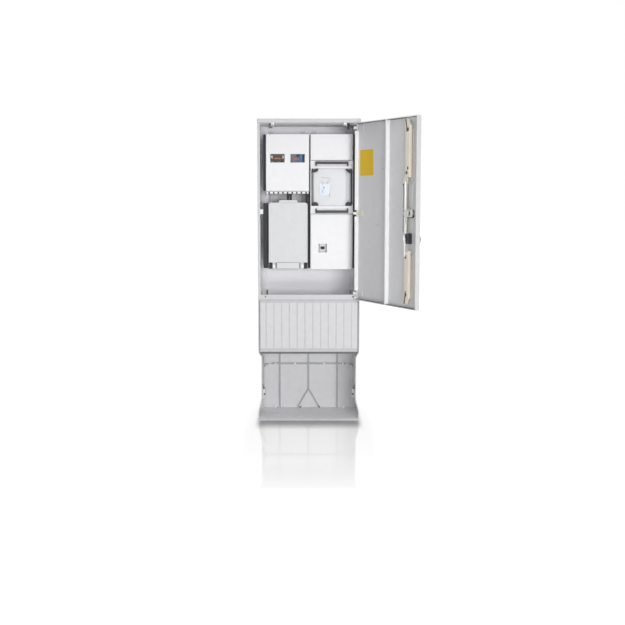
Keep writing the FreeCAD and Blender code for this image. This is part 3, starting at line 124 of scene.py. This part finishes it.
MATS = {
    "housing_grp": surface("housing_grp", srgb(210, 210, 212), 0.55, grain=0.35, spread=0.02),
    "base_grp": surface("base_grp", srgb(217, 217, 219), 0.6, grain=0.4, spread=0.025),
    "door_grp": surface("door_grp", srgb(217, 217, 219), 0.5, grain=0.3, spread=0.02),
    "cover_white": surface("cover_white", srgb(241, 241, 243), 0.45, spread=0.012, grain=0.1),
    "tray_white": surface("tray_white", srgb(226, 226, 228), 0.5, spread=0.012, grain=0.1),
    "box_grey": surface("box_grey", srgb(219, 221, 222), 0.5, spread=0.02, grain=0.15),
    "rail_zinc": surface("rail_zinc", srgb(222, 222, 226), 0.5, spread=0.02),
    "screw_steel": surface("screw_steel", srgb(188, 189, 191), 0.32, metal=0.9, spread=0.06),
    "terminal_brown": surface("terminal_brown", srgb(72, 50, 42), 0.5, spread=0.08),
    "terminal_blue": surface("terminal_blue", srgb(52, 104, 156), 0.45, spread=0.06),
    "terminal_copper": surface("terminal_copper", srgb(160, 110, 94), 0.45, spread=0.08),
    "module_black": surface("module_black", srgb(38, 37, 41), 0.5, spread=0.1),
    "module_lavender": surface("module_lavender", srgb(98, 96, 108), 0.45, spread=0.04),
    "switch_grey": surface("switch_grey", srgb(240, 238, 239), 0.45, spread=0.04),
    "hood_clear": surface("hood_clear", srgb(250, 251, 254), 0.3, spread=0.01, extra=clear),
    "black_plastic": surface("black_plastic", srgb(45, 43, 47), 0.45, spread=0.1, grain=0.2),
    "rod_ivory": surface("rod_ivory", srgb(224, 215, 200), 0.45, spread=0.025, grain=0.1),
    "bar_zinc": surface("bar_zinc", srgb(206, 206, 204), 0.4, metal=0.7, spread=0.05),
    "hinge_cream": surface("hinge_cream", srgb(226, 226, 210), 0.45, spread=0.02, grain=0.1),
    "latch_grey": surface("latch_grey", srgb(206, 209, 203), 0.45, spread=0.03, grain=0.1),
    "pin_steel": surface("pin_steel", srgb(180, 181, 183), 0.3, metal=0.9),
    "buffer_rubber": surface("buffer_rubber", srgb(40, 39, 41), 0.75, spread=0.1, grain=0.3),
    "label_yellow": surface("label_yellow", srgb(230, 189, 12), 0.5, spread=0.02),
    "fuse_ceramic": surface("fuse_ceramic", srgb(232, 230, 222), 0.3, spread=0.02),
    "inner_lit_white": surface("inner_lit_white", srgb(247, 247, 250), 0.55, grain=0.3, spread=0.015),
    "rib_shade": surface("rib_shade", srgb(172, 172, 175), 0.6, spread=0.03, grain=0.3),
    "groove_shade": surface("groove_shade", srgb(200, 200, 203), 0.6, spread=0.03, grain=0.3),
    "gap_black": surface("gap_black", srgb(52, 51, 54), 0.7, spread=0.12, grain=0.3),
    "seal_brown": surface("seal_brown", srgb(96, 80, 72), 0.7, spread=0.12, grain=0.3),
    "recess_grey": surface("recess_grey", srgb(247, 246, 249), 0.5, spread=0.03, grain=0.1),
    "line_grey": surface("line_grey", srgb(150, 150, 154), 0.55, spread=0.05, grain=0.1),
    # Dark grey for painted shade strips and for small dark marks
    "gasket_grey": surface("gasket_grey", srgb(118, 118, 121), 0.8, spread=0.08, grain=0.4),
    "bed_grey": surface("bed_grey", srgb(204, 199, 192), 0.5, spread=0.03, grain=0.1),
    "boss_white": surface("boss_white", srgb(244, 244, 246), 0.4, spread=0.01),
    "slot_dark": surface("slot_dark", srgb(78, 70, 62), 0.6, spread=0.1),
    "plate_lit_pale": surface("plate_lit_pale", srgb(238, 238, 240), 0.55, spread=0.02, grain=0.3),
    "plate_front_shaded": surface("plate_front_shaded", srgb(200, 200, 202), 0.6, spread=0.02, grain=0.3),
    "bar_pale": surface("bar_pale", srgb(222, 220, 204), 0.45, spread=0.03),
    "module_dim": surface("module_dim", srgb(112, 110, 116), 0.5, spread=0.06),
    "copper_dull": surface("copper_dull", srgb(150, 104, 92), 0.5, spread=0.08),
    "cream": surface("cream", srgb(206, 200, 182), 0.5, spread=0.03),
    "print_pale": surface("print_pale", srgb(224, 233, 243), 0.4, spread=0.02),
    "print_rose": surface("print_rose", srgb(204, 170, 166), 0.4, spread=0.03),
    "print_dim": surface("print_dim", srgb(160, 172, 184), 0.4, spread=0.03),
    "bail_black": surface("bail_black", srgb(50, 48, 53), 0.5, spread=0.1, grain=0.2),
}
SLOTS = {entry["node"]: entry["material_slot"] for entry in frame["record"]["subparts"]}

# Nodes that look different from their slot in the record; the roof liner's lighter white is
# painted light, the floor plate's darker grey painted shade on its front
FINISH = {"riser_glands": "gap_black", "base_screws": "boss_white", "rod_guides": "bed_grey",
          "roof_liner": "inner_lit_white", "base_floor_plate": "plate_front_shaded",
          "upper_bail": "bail_black", "lower_bail": "bail_black"}

# Limits that tell apart the faces of one node, for the tests below; lengths are in metres
FACING = 0.9
ROOM_SIDE, ROOM_DEEP = 0.2845, (-0.136, 0.1370)
RIB_FACES, RIB_REACH = (0.1205, 0.1185), 0.0006
MIDDLE_HINGE = (1.0, 1.4)
FLANGE_DEEP, FLANGE_ACROSS = -0.0045, -0.45
GROOVE_DEEP = (-0.1368, -0.1350)


def inside_cabinet(centre, normal):
    """The housing's inner faces, without the outward faces of its rear corners; these take a
    lighter white as painted light inside the cabinet.
    """
    corner = normal.y > 0.05 and centre.x * normal.x > 0
    return (abs(centre.x) < ROOM_SIDE and ROOM_DEEP[0] < centre.y < ROOM_DEEP[1]
            and not corner)


def back_rib(centre, normal):
    """The front faces of the ribs on the base's back."""
    return normal.y < -FACING and any(abs(centre.y - face) < RIB_REACH for face in RIB_FACES)


def plate_top(centre, normal):
    """The upper face of the floor plate, which takes a lighter colour than the rest of the plate
    as painted light from above.
    """
    return normal.z > FACING


def outer_hinge(centre, normal):
    """The top and bottom hinges."""
    return not MIDDLE_HINGE[0] <= centre.z <= MIDDLE_HINGE[1]


def hinge_flange(centre, normal):
    """The door's flange beside the hinges and its rib, with the door turned back to closed; these
    faces take a lighter colour as painted light.
    """
    off_x, off_y = centre.x - HINGE[0] / MM, centre.y - HINGE[1] / MM
    across = off_x * math.cos(OPEN) + off_y * math.sin(OPEN)
    deep = off_y * math.cos(OPEN) - off_x * math.sin(OPEN)
    return (deep > FLANGE_DEEP and across > FLANGE_ACROSS and normal.y < 0.3
            and abs(normal.z) < 0.5)


def panel_groove(centre, normal):
    """The bottoms of the grooves between the front panel's ribs."""
    return GROOVE_DEEP[0] < centre.y < GROOVE_DEEP[1]


# A second material on the faces that pass a test: painted light on the cabinet's inner faces, the
# floor plate's top and the door's hinge flange, painted shade on the ribs' front faces and the
# grooves' bottoms; the outer hinges take the door's grey
TINTS = {"cabinet_housing": (inside_cabinet, "inner_lit_white"),
         "base_upper_moulding": (back_rib, "rib_shade"),
         "base_lower_moulding": (back_rib, "rib_shade"),
         "base_front_panel": (panel_groove, "groove_shade"),
         "base_floor_plate": (plate_top, "plate_lit_pale"),
         "door_panel": (hinge_flange, "plate_lit_pale"),
         "hinge_brackets": (outer_hinge, "door_grp"),
         "hinge_leaves": (outer_hinge, "door_grp")}

# Edge rounding of the CAD nodes in millimetres
EDGE_SOFT = 0.7
SOFT = {"roof_cap": 0.0, "meter_hood": 0.6, "label_plate": 0.0, "terminal_screws": 0.3,
        "cover_screws": 0.6, "base_screws": 0.6, "base_front_panel": 0.5, "hinge_pins": 0.0,
        "door_panel": 0.9, "cabinet_housing": 0.9, "support_rails": 0.3}
# Cleaning of their faces: metres to weld over, angles of a flat face and of an edge to round
WELD_REACH = 0.00001
FLAT_ANGLE, EDGE_ANGLE = math.radians(1.0), math.radians(40)
BEVEL_STEPS = 2


def finish_node(name, node):
    """Give a CAD node its material and slightly rounded, cleanly shaded edges."""
    node.data.materials.clear()
    node.data.materials.append(MATS[FINISH.get(name, SLOTS[name])])
    test, tint = TINTS.get(name, (None, None))
    if test:
        node.data.materials.append(MATS[tint])
    for polygon in node.data.polygons:
        polygon.material_index = int(bool(test and test(polygon.center, polygon.normal)))
    width = SOFT.get(name, EDGE_SOFT)
    weld = node.modifiers.new("weld", "WELD")
    weld.merge_threshold = WELD_REACH
    flat = node.modifiers.new("flat", "DECIMATE")
    flat.decimate_type = "DISSOLVE"
    flat.angle_limit = FLAT_ANGLE
    if width:
        bevel = node.modifiers.new("bevel", "BEVEL")
        bevel.width = width / MM
        bevel.segments = BEVEL_STEPS
        bevel.limit_method = "ANGLE"
        bevel.angle_limit = EDGE_ANGLE
        bevel.harden_normals = True


for name, node in NODES.items():
    finish_node(name, node)


# Small parts that the solids leave out, in millimetres
DISC_SIDES = 20


def as_built(x, y, z):
    """A point of the standing cabinet."""
    return (x / MM, y / MM, z / MM)


def on_door(x, y, z):
    """A point given with the door closed, turned to where the open door carries it."""
    across, deep = x - HINGE[0], y - HINGE[1]
    turned_x = HINGE[0] + across * math.cos(OPEN) - deep * math.sin(OPEN)
    turned_y = HINGE[1] + across * math.sin(OPEN) + deep * math.cos(OPEN)
    return (turned_x / MM, turned_y / MM, z / MM)


def prism(name, body, outline, near, far, material, slot, soft=0.3, place=as_built):
    """A plate with the given outline in x and z, from depth near to depth far, edges eased."""
    shape = bmesh.new()
    front = [shape.verts.new(place(x, near, z)) for x, z in outline]
    back = [shape.verts.new(place(x, far, z)) for x, z in outline]
    shape.faces.new(front)
    shape.faces.new(list(reversed(back)))
    count = len(outline)
    for index in range(count):
        following = (index + 1) % count
        shape.faces.new((front[following], front[index], back[index], back[following]))
    bmesh.ops.recalc_face_normals(shape, faces=shape.faces)
    if soft:
        bmesh.ops.bevel(shape, geom=shape.edges[:], offset=soft / MM, segments=BEVEL_STEPS,
                        affect="EDGES", profile=0.5, clamp_overlap=True)
    mesh = bpy.data.meshes.new(name)
    shape.to_mesh(mesh)
    shape.free()
    mesh.materials.append(MATS[material])
    piece = bpy.data.objects.new(name, mesh)
    SCENE.collection.objects.link(piece)
    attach(piece, body)
    return piece


def bar(name, body, across, deep, up, material, slot, soft=0.3, place=as_built):
    """A box between two places across, two depths and two heights."""
    low, high = across
    outline = [(low, up[0]), (high, up[0]), (high, up[1]), (low, up[1])]
    return prism(name, body, outline, *deep, material, slot, soft, place)


def disc(name, body, centre, radius, deep, material, slot, tall=1.0, place=as_built):
    """A round plate, or an oval one where tall is not 1."""
    outline = []
    for step in range(DISC_SIDES):
        angle = 2 * math.pi * step / DISC_SIDES
        outline.append((centre[0] + radius * math.cos(angle),
                        centre[1] + radius * tall * math.sin(angle)))
    return prism(name, body, outline, *deep, material, slot, place=place)


# Painted shade: dark strips in the gaps between the covers and the walls, and a dark brown strip
# and line at the cable entry comb
for name, across, up in (
        ("seal_left_high", (-257.0, -241.8), (1298, 1612)),
        ("seal_left_low", (-257.0, -228.0), (859, 1228)),
        ("seal_middle", (-6.3, 8.4), (859, 1290)),
        ("seal_right", (249.6, 258.0), (858, 1612))):
    bar(name, "pillar", across, (-38, -26), up, "gap_black", "black_plastic", 1.2)
bar("comb_shade", "pillar", (-236, -3), (-55.8, -50), (1281, 1297), "seal_brown", "black_plastic")
bar("comb_shade_line", "pillar", (-238, -1), (-65.4, -64.6), (1293.4, 1296.2), "seal_brown",
    "black_plastic", 0.2)

# Lower corners of the service box: painted shade as dark pockets and dark edge strips, with a
# light boss round each screw
for side, across, line, boss in (("left", (-225.5, -205.5), (-187.5, -184), -197),
                                 ("right", (-28.5, -7.5), (-51, -47.5), -37)):
    bar(f"pocket_{side}", "pillar", across, (-48.6, -47.6), (856.5, 892.5), "gap_black",
        "black_plastic")
    bar(f"pocket_edge_{side}", "pillar", line, (-50, -47.6), (858, 891), "gasket_grey",
        "black_plastic", 0.8)
    disc(f"pocket_boss_{side}", "pillar", (boss, 871), 7.5, (-49.8, -48.3), "boss_white",
         "box_grey", 1.4)
# Grey lines round the tab on the service box's face; the low one is painted shade under the lower
# edge
for name, across, up in (("tab_line_high", (-178, -57), (892.4, 894.6)),
                         ("tab_line_low", (-180, -56), (856.3, 858.6)),
                         ("tab_line_left", (-182, -179.8), (860, 892)),
                         ("tab_line_right", (-55.2, -53), (860, 892))):
    bar(name, "pillar", across, (-68.0, -67.4), up, "line_grey", "box_grey", 0.15)

# Meter place: pale plates in the bail loops, a little lighter than the board, as painted light
# against the bails' shade; black corner clips, seal beside the hood
for name, up in (("bail_recess_high", (1435, 1452)), ("bail_recess_low", (1181, 1198))):
    bar(name, "pillar", (34, 225), (-60.6, -59.4), up, "recess_grey", "cover_white")
for name, outline in (
        ("hood_clip_1", [(54.0, 1420.8), (38.2, 1420.8), (24.7, 1413), (21.3, 1399.4),
                         (32.6, 1398.3), (43.8, 1402.8), (52.9, 1411.8)]),
        ("hood_clip_2", [(205.2, 1420.8), (219.9, 1416.3), (244.6, 1410.7), (244.6, 1391.5),
                         (233.4, 1393.8), (219.9, 1399.4), (207.4, 1410.7)]),
        ("hood_clip_3", [(204.0, 1212.6), (207.4, 1226.8), (217, 1235.8), (226.5, 1230.1),
                         (244.6, 1238), (244.6, 1222.2), (234, 1213.2)]),
        ("hood_clip_4", [(20.7, 1226.8), (31.4, 1235.3), (45, 1232.4), (54, 1222.2),
                         (53.5, 1212.6), (21.2, 1214.3)])):
    prism(name, "pillar", outline, -95.2, -88, "gap_black", "black_plastic", 0.8)
bar("hood_side_strip_right", "pillar", (237.5, 245.5), (-62, -59.4), (1236, 1396), "gap_black",
    "black_plastic", 0.8)

# Plain print on the hood: a pale field and short strokes
for name, across, up, material in (
        ("print_field_1", (61, 116), (1272, 1338), "print_pale"),
        ("print_stroke_1", (74, 102), (1368.5, 1371.5), "print_rose"),
        ("print_stroke_2", (114.5, 118), (1357, 1372), "line_grey"),
        ("print_stroke_3", (75.5, 78), (1331, 1350), "print_dim"),
        ("print_stroke_4", (103, 106), (1333, 1350), "print_dim"),
        ("print_stroke_5", (80, 88), (1312, 1319), "line_grey"),
        ("print_stroke_6", (75.5, 78), (1284, 1304), "print_dim"),
        ("print_stroke_7", (114.5, 118), (1263, 1284), "line_grey")):
    bar(name, "pillar", across, (-94.1, -93.4), up, material, "cover_white", 0.1)

# Devices seen in the two windows
for name, across, up, material in (
        ("left_end_1", (-213, -203), (1480, 1494), "cream"),
        ("left_end_2", (-148, -140), (1478, 1494), "cream"),
        ("left_shadow", (-202, -150), (1487, 1503), "slot_dark"),
        ("left_band", (-194, -158), (1474, 1481), "terminal_copper"),
        ("left_low", (-196, -156), (1461.5, 1467), "slot_dark"),
        ("left_module_1", (-213, -196), (1453, 1463), "module_dim"),
        ("left_module_2", (-193, -180), (1453, 1462), "gap_black"),
        ("left_module_3", (-176, -162), (1453, 1461), "module_dim"),
        ("left_module_4", (-158, -148), (1453, 1462), "gap_black"),
        ("right_module_1", (-69.5, -56), (1488, 1503), "gap_black"),
        ("right_module_2", (-52.5, -35.5), (1464, 1503), "terminal_blue"),
        ("right_module_3", (-32.5, -22), (1453, 1503), "gap_black"),
        ("right_bar_1", (-84, -56), (1468, 1480), "copper_dull"),
        ("right_module_4", (-104, -94), (1453, 1463), "gap_black"),
        ("right_module_5", (-88, -60), (1453, 1462), "module_dim"),
        ("right_module_6", (-54, -35), (1453, 1462), "module_dim")):
    bar(name, "pillar", across, (-62.6, -59.4), up, material, "module_black", 0.6)

# Painted shade: dark blocks in the roof's corners beside the strikers; plugs in the sill
bar("roof_corner_shade_left", "pillar", (-223, -203), (-112, -104), (1641, 1669), "gasket_grey",
    "black_plastic", 1.0)
bar("roof_corner_shade_right", "pillar", (211.5, 226.5), (-112, -104), (1633, 1669), "gap_black",
    "black_plastic", 1.0)
for name, across in (("sill_plug_left", -242.4), ("sill_plug_right", 246.4)):
    disc(name, "pillar", (across, 706.5), 4.5, (-138.2, -137.3), "gasket_grey", "black_plastic")

# Base: seam bosses; painted shade as a dark band under the front panel, dark lines at the panel's
# sides and at the housing's foot, dark corners of the seam and dark faces of the side hooks; feet
# of the forked rib
SIDES = (("left", -1), ("right", 1))
BOSS = 4.5
FOOT_HIGH = 16.5
BASE_WALL = 262
SEAM_DEEP = (-138.1, -136.6)
for index, across in enumerate((-195, -78.6, 93.4, 204)):
    disc(f"seam_boss_{index}", "pillar", (across, 278.6), BOSS, (113.5, 118.6), "boss_white",
         "base_grp")
for index, across in enumerate((-198, 209)):
    disc(f"floor_boss_{index}", "pillar", (across, FOOT_HIGH), BOSS, (114, 121), "boss_white",
         "base_grp")
bar("panel_shadow_band", "pillar", (-266, 266), (-124, -119), (381, 396), "gasket_grey", "base_grp",
    1.5)
panel_low, panel_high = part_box("base_front_panel")
for name, side in (("panel_gap_left", panel_low[0]), ("panel_gap_right", panel_high[0])):
    edge = side * MM
    bar(name, "pillar", (edge - 1.6, edge + 1.6), SEAM_DEEP,
        (panel_low[2] * MM + 4, panel_high[2] * MM - 4), "line_grey", "base_grp", 0.2)
housing_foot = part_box("cabinet_housing")[0][2] * MM
bar("housing_seam", "pillar", (-279, 279), SEAM_DEEP, (housing_foot - 1.4, housing_foot + 0.4),
    "line_grey", "base_grp", 0.2)
for mark, side in SIDES:
    prism(f"seam_corner_{mark}", "pillar", [(side * BASE_WALL, 281), (side * 232, 281),
                                            (side * 236, 275), (side * 252, 272),
                                            (side * BASE_WALL, 260)],
          96, 104, "rib_shade", "base_grp", 0.5)
for name, across in (("fork_foot_left", -48), ("fork_foot_right", 63.4)):
    disc(name, "pillar", (across, FOOT_HIGH), BOSS, (116.5, 121), "gasket_grey", "base_grp")
for mark, side in SIDES:
    prism(f"hook_face_{mark}", "pillar", [(side * BASE_WALL, 169), (side * 248.5, 169),
                                          (side * BASE_WALL, 198)],
          -78.4, -77.4, "gasket_grey", "base_grp", 0.2)
    bar(f"hook_notch_{mark}", "pillar", sorted((side * BASE_WALL, side * 248)), (-62, -58),
        (133, 144), "gasket_grey", "base_grp")

# Door: painted shade as dark strips along the flanges, as grey-beige strips where the rods shade
# the sheet, as grey strips beside the drive bar and as a black plate behind the latch
SHEET = -160.6
FLANGE_GAP = (-160.4, -140)
for name, across, deep, up, material in (
        ("gasket_high", (-172, 262), FLANGE_GAP, (1660.6, 1662.6), "gasket_grey"),
        ("gasket_corner", (-262, -232), FLANGE_GAP, (1660.6, 1662.6), "gasket_grey"),
        ("gasket_free", (-277, -270), (SHEET, -157.5), (698, 1662), "line_grey"),
        ("gasket_low", (-262, 262), FLANGE_GAP, (697.4, 699), "gasket_grey")):
    bar(name, "door", across, deep, up, material, "door_grp", place=on_door)
for name, up in (("rod_bed_high", (1340, 1604)), ("rod_bed_low", (737, 972))):
    bar(name, "door", (-233, -196), (SHEET, -154.6), up, "bed_grey", "rod_ivory", 0.8, on_door)
for name, up in (("bar_rail_high", (1204, 1330)), ("bar_rail_low", (1082, 1156))):
    bar(name, "door", (-191, -182), (SHEET, -159.4), up, "line_grey", "bar_zinc", 0.3, on_door)
    bar(name + "_edge", "door", (-152, -146), (SHEET, -159.9), up, "line_grey", "bar_zinc", 0.2,
        on_door)
bar("drive_bar_front", "upper_rods", (-195, -175), (-149.5, -146.5), (1082, 1338), "bar_pale",
    "bar_zinc", 0.5, on_door)
prism("latch_shadow_plate", "door", [(-152, 1162), (-158, 1157), (-232, 1157), (-240, 1164),
                              (-240, 1192), (-232, 1199), (-158, 1199), (-152, 1194)],
      SHEET, -158, "gap_black", "black_plastic", 0.6, on_door)

# Forked rods, broader than the solids, with curved prongs; heights are measured from the tip
PRONGS = [(-196, -69), (-191, -49), (-181, -23), (-178, 0), (-186, 0), (-189, -17), (-197, -41),
          (-203, -59), (-207, -63), (-210, -57), (-205, -41), (-199, -19), (-195, 0), (-206, 0),
          (-213, -17), (-226, -33), (-226, -66)]
FORK_LINE = [(-203, -66), (-198, -43), (-190, -19), (-186.5, -1), (-194.5, -1), (-199, -19),
             (-206, -43), (-211, -66)]
ROD_FACE, ROD_REAR = -134, -152
PRONG_LENGTH, THIN_OVER, THIN_SHARE = 58, 30, 0.25


def forked_rod(name, body, node, tip, foot, marks):
    """A flat rod from foot to tip with a forked end and oval slots, in place of the solid; a dark
    sheet fills the gap between the prongs as painted shade.
    """
    way = 1 if tip > foot else -1

    def thinning(x, y, z):
        """The prongs get thinner towards their tips, clear of the striker under the roof."""
        share = min(1, max(0, (PRONG_LENGTH - abs(tip - z)) / THIN_OVER))
        return on_door(x, y - share * (y - ROD_REAR) * THIN_SHARE, z)

    outline = [(-226, foot), (-196, foot)] + [(x, tip + way * z) for x, z in PRONGS]
    piece = prism(name, body, outline, ROD_FACE, ROD_REAR, "rod_ivory", "rod_ivory", 1.2,
                  thinning)
    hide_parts(node)
    prism(name + "_fork_shade", body, [(x, tip + way * z) for x, z in FORK_LINE], -133.4, -151,
          "slot_dark", "rod_ivory", 0.2, thinning)
    for index, (across, low, high, wide) in enumerate(marks):
        disc(f"{name}_slot_{index}", body, (across, (low + high) / 2), wide, (-134.8, -133.2),
             "slot_dark", "black_plastic", (high - low) / 2 / wide, on_door)


forked_rod("upper_rod_body", "upper_rods", "upper_rod", 1653.4, 1362,
           [(-215, 1590, 1610, 7), (-217, 1399, 1415, 6), (-208, 1376, 1394, 7)])
forked_rod("lower_rod_body", "lower_rods", "lower_rod", 719.5, 992,
           [(-205, 950, 972, 7), (-209, 758, 778, 6)])

# Links of the rods, eye of the latch, two marks on the door sheet, lock case
prism("rod_link", "upper_rods", [(-204, 1368), (-178, 1368), (-166, 1345), (-164, 1326),
                                 (-174, 1316), (-196, 1320), (-204, 1345)],
      -143.5, -146.5, "bar_pale", "bar_zinc", 0.6, on_door)
disc("rod_link_hole", "upper_rods", (-170.5, 1325), 6, (-143.9, -143), "slot_dark",
     "black_plastic", 1.1, on_door)
prism("rod_link_low", "lower_rods", [(-204, 978), (-188, 978), (-180, 1000), (-176, 1030),
                                     (-182, 1066), (-192, 1070), (-195, 1040), (-197, 1012),
                                     (-206, 996)],
      -142, -145.5, "bar_pale", "bar_zinc", 0.6, on_door)
disc("latch_eye", "door", (-224, 1180), 7, (-138, -140), "slot_dark", "latch_grey", 1.5, on_door)
for name, across, up in (("door_dot_1", 33.8, 1412), ("door_dot_2", 81, 1114)):
    disc(name, "door", (across, up), 3, (-160.1, -160.7), "gasket_grey", "door_grp", 1.0, on_door)
lock = bar("lock_case_body", "door", (-223, -198), (SHEET, -135.5), (1026, 1079),
           "black_plastic", "black_plastic", 1.2, on_door)
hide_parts("lock_case")


# Floor, light and camera. Places on the floor are in metres from the object's middle
MIRROR_REACH = (-1.6, 2.7)
MIRROR_SIDES = (0.42, 0.3)
# Spots from 0 to 1 along its reach and how strong the mirror image is there; the ramp has
# two stops from the start, so its ends come first
MIRROR_FADE = ((0.0, 0.0), (0.535, 0.0), (0.0465, 0.1), (0.116, 0.23), (0.2, 0.34),
               (0.3395, 0.42), (0.414, 0.3))
MIRROR_ROUGH = 0.02
GLOW_REACH, GLOW = (0.8, 2.2), (0.93, 1.02)
CONTACT_FRONT, CONTACT_REAR, CONTACT_SIDES = (-0.35, -0.17), (0.19, 0.1), (0.31, 0.262)
CONTACT_SHARE, CONTACT_TONE = 0.66, 0.03
PAPER_TONE, MATTE_TONE = 0.2, 0.85


def seen_directly(tree):
    """1 for rays from the camera, straight, mirrored or through the hood, 0 for other light."""
    path = tree.nodes.new("ShaderNodeLightPath")
    seen = path.outputs["Is Camera Ray"]
    for kind in ("Is Glossy Ray", "Is Transmission Ray"):
        larger = tree.nodes.new("ShaderNodeMath")
        larger.operation = "MAXIMUM"
        tree.links.new(seen, larger.inputs[0])
        tree.links.new(path.outputs[kind], larger.inputs[1])
        seen = larger.outputs["Value"]
    return seen


def floor_surface():
    """Pale floor: white to the camera, with a soft shadow and a faint reflection of the object."""
    mat = bpy.data.materials.new("floor_pale")
    mat.use_nodes = True
    tree = mat.node_tree
    tree.nodes.clear()
    add, link = tree.nodes.new, tree.links.new

    def diffuse(tone):
        node = add("ShaderNodeBsdfDiffuse")
        node.inputs["Color"].default_value = (tone, tone, tone, 1)
        return node.outputs["BSDF"]

    def mixed(share, first, second):
        """The first shader where share is 0, the second where it is 1."""
        node = add("ShaderNodeMixShader")
        link(share, node.inputs["Fac"])
        link(first, node.inputs[1])
        link(second, node.inputs[2])
        return node.outputs["Shader"]

    def mapped(source, start, end, low=0.0, high=1.0, smooth=False):
        """A value that goes from low at start to high at end."""
        node = add("ShaderNodeMapRange")
        if smooth:
            node.interpolation_type = "SMOOTHSTEP"
        for name, value in (("From Min", start), ("From Max", end), ("To Min", low),
                            ("To Max", high)):
            node.inputs[name].default_value = value
        link(source, node.inputs["Value"])
        return node.outputs["Result"]

    def product(first, second):
        node = add("ShaderNodeMath")
        node.operation = "MULTIPLY"
        for socket, value in zip(node.inputs, (first, second)):
            if isinstance(value, float):
                socket.default_value = value
            else:
                link(value, socket)
        return node.outputs["Value"]

    position = add("ShaderNodeNewGeometry").outputs["Position"]
    parts = add("ShaderNodeSeparateXYZ")
    link(position, parts.inputs["Vector"])
    aside = add("ShaderNodeMath")
    aside.operation = "ABSOLUTE"
    link(parts.outputs["X"], aside.inputs[0])
    distance = add("ShaderNodeVectorMath")
    distance.operation = "LENGTH"
    link(position, distance.inputs[0])

    # White paper to the eye, a little dimmer near the object, that still takes its shadow
    glow = add("ShaderNodeEmission")
    link(mapped(distance.outputs["Value"], *GLOW_REACH, *GLOW), glow.inputs["Strength"])
    paper = add("ShaderNodeAddShader")
    link(glow.outputs["Emission"], paper.inputs[0])
    link(diffuse(PAPER_TONE), paper.inputs[1])

    # Mirror image that fades with the distance in front of the object and to its sides
    mirror = add("ShaderNodeBsdfGlossy")
    mirror.inputs["Roughness"].default_value = MIRROR_ROUGH
    fade = add("ShaderNodeValToRGB")
    for index, (spot, value) in enumerate(MIRROR_FADE):
        stops = fade.color_ramp.elements
        stop = stops.new(spot) if index > 1 else stops[index]
        stop.position = spot
        stop.color = (value, value, value, 1)
    link(mapped(parts.outputs["Y"], *MIRROR_REACH), fade.inputs["Fac"])
    share = product(fade.outputs["Color"],
                    mapped(aside.outputs["Value"], *MIRROR_SIDES, smooth=True))
    seen = mixed(share, paper.outputs["Shader"], mirror.outputs["BSDF"])

    # Contact shade round the base
    under = product(mapped(parts.outputs["Y"], *CONTACT_FRONT, smooth=True),
                    mapped(parts.outputs["Y"], *CONTACT_REAR, smooth=True))
    under = product(under, mapped(aside.outputs["Value"], *CONTACT_SIDES, smooth=True))
    seen = mixed(product(under, CONTACT_SHARE), seen, diffuse(CONTACT_TONE))

    out = add("ShaderNodeOutputMaterial")
    link(mixed(seen_directly(tree), diffuse(MATTE_TONE), seen), out.inputs["Surface"])
    return mat


bpy.ops.mesh.primitive_plane_add(size=60, location=(0, 10, 0))
floor = bpy.context.object
floor.name = "floor"
floor.data.materials.append(floor_surface())

# White all round to the camera, and a weaker even light on the object
WORLD_LIGHT = 0.24
world = bpy.data.worlds.new("studio")
SCENE.world = world
world.use_nodes = True
tree = world.node_tree
light = tree.nodes["Background"]
paper = tree.nodes.new("ShaderNodeBackground")
for background, strength in ((light, WORLD_LIGHT), (paper, 1.0)):
    background.inputs["Color"].default_value = (1, 1, 1, 1)
    background.inputs["Strength"].default_value = strength
mixer = tree.nodes.new("ShaderNodeMixShader")
tree.links.new(seen_directly(tree), mixer.inputs["Fac"])
tree.links.new(light.outputs["Background"], mixer.inputs[1])
tree.links.new(paper.outputs["Background"], mixer.inputs[2])
tree.links.new(mixer.outputs["Shader"], tree.nodes["World Output"].inputs["Surface"])


def lamp(name, place, aim, size, power):
    """A rectangular soft light at a place, turned to what it aims at, in watts."""
    data = bpy.data.lights.new(name, "AREA")
    data.shape = "RECTANGLE"
    data.size, data.size_y = size
    data.energy = power
    item = bpy.data.objects.new(name, data)
    SCENE.collection.objects.link(item)
    item.location = place
    item.rotation_euler = (Vector(aim) - Vector(place)).to_track_quat("-Z", "Y").to_euler()


lamp("front_softbox", (1.6, -6.3, 1.25), (0.1, 0, 1.1), (3.0, 1.4), 162)
lamp("high_softbox", (0.3, -4.5, 6.4), (0.1, 0, 0.6), (3.0, 2.6), 42)
lamp("top_softbox", (0.2, -0.5, 4.3), (0.1, -0.2, 0), (2.4, 2.4), 34)
lamp("left_softbox", (-4.6, 2.6, 1.8), (0, 0, 0.9), (2.4, 2.4), 96)
lamp("right_softbox", (4.4, 3.0, 1.8), (0.2, -0.1, 0.9), (2.4, 2.4), 96)
lamp("low_softbox", (0.3, -3.0, 0.12), (0.1, 0, 1.6), (2.6, 0.4), 14)

# Camera at the photograph's viewing angle: focal length and shift in pixels of its picture
PITCH = math.radians(5.0)
PICTURE = 625
SENSOR = 36
FOCAL = 865.9
SHIFT = (8.8, -40.8)
camera_data = bpy.data.cameras.new("camera")
camera_data.lens = FOCAL / PICTURE * SENSOR
camera_data.sensor_width = SENSOR
camera_data.shift_x = SHIFT[0] / PICTURE
camera_data.shift_y = SHIFT[1] / PICTURE
camera_data.clip_end = 100
camera = bpy.data.objects.new("camera", camera_data)
SCENE.collection.objects.link(camera)
camera.location = (-0.0288, -4.952, 1.2683)
camera.rotation_euler = (math.pi / 2 - PITCH, 0, 0)
SCENE.camera = camera
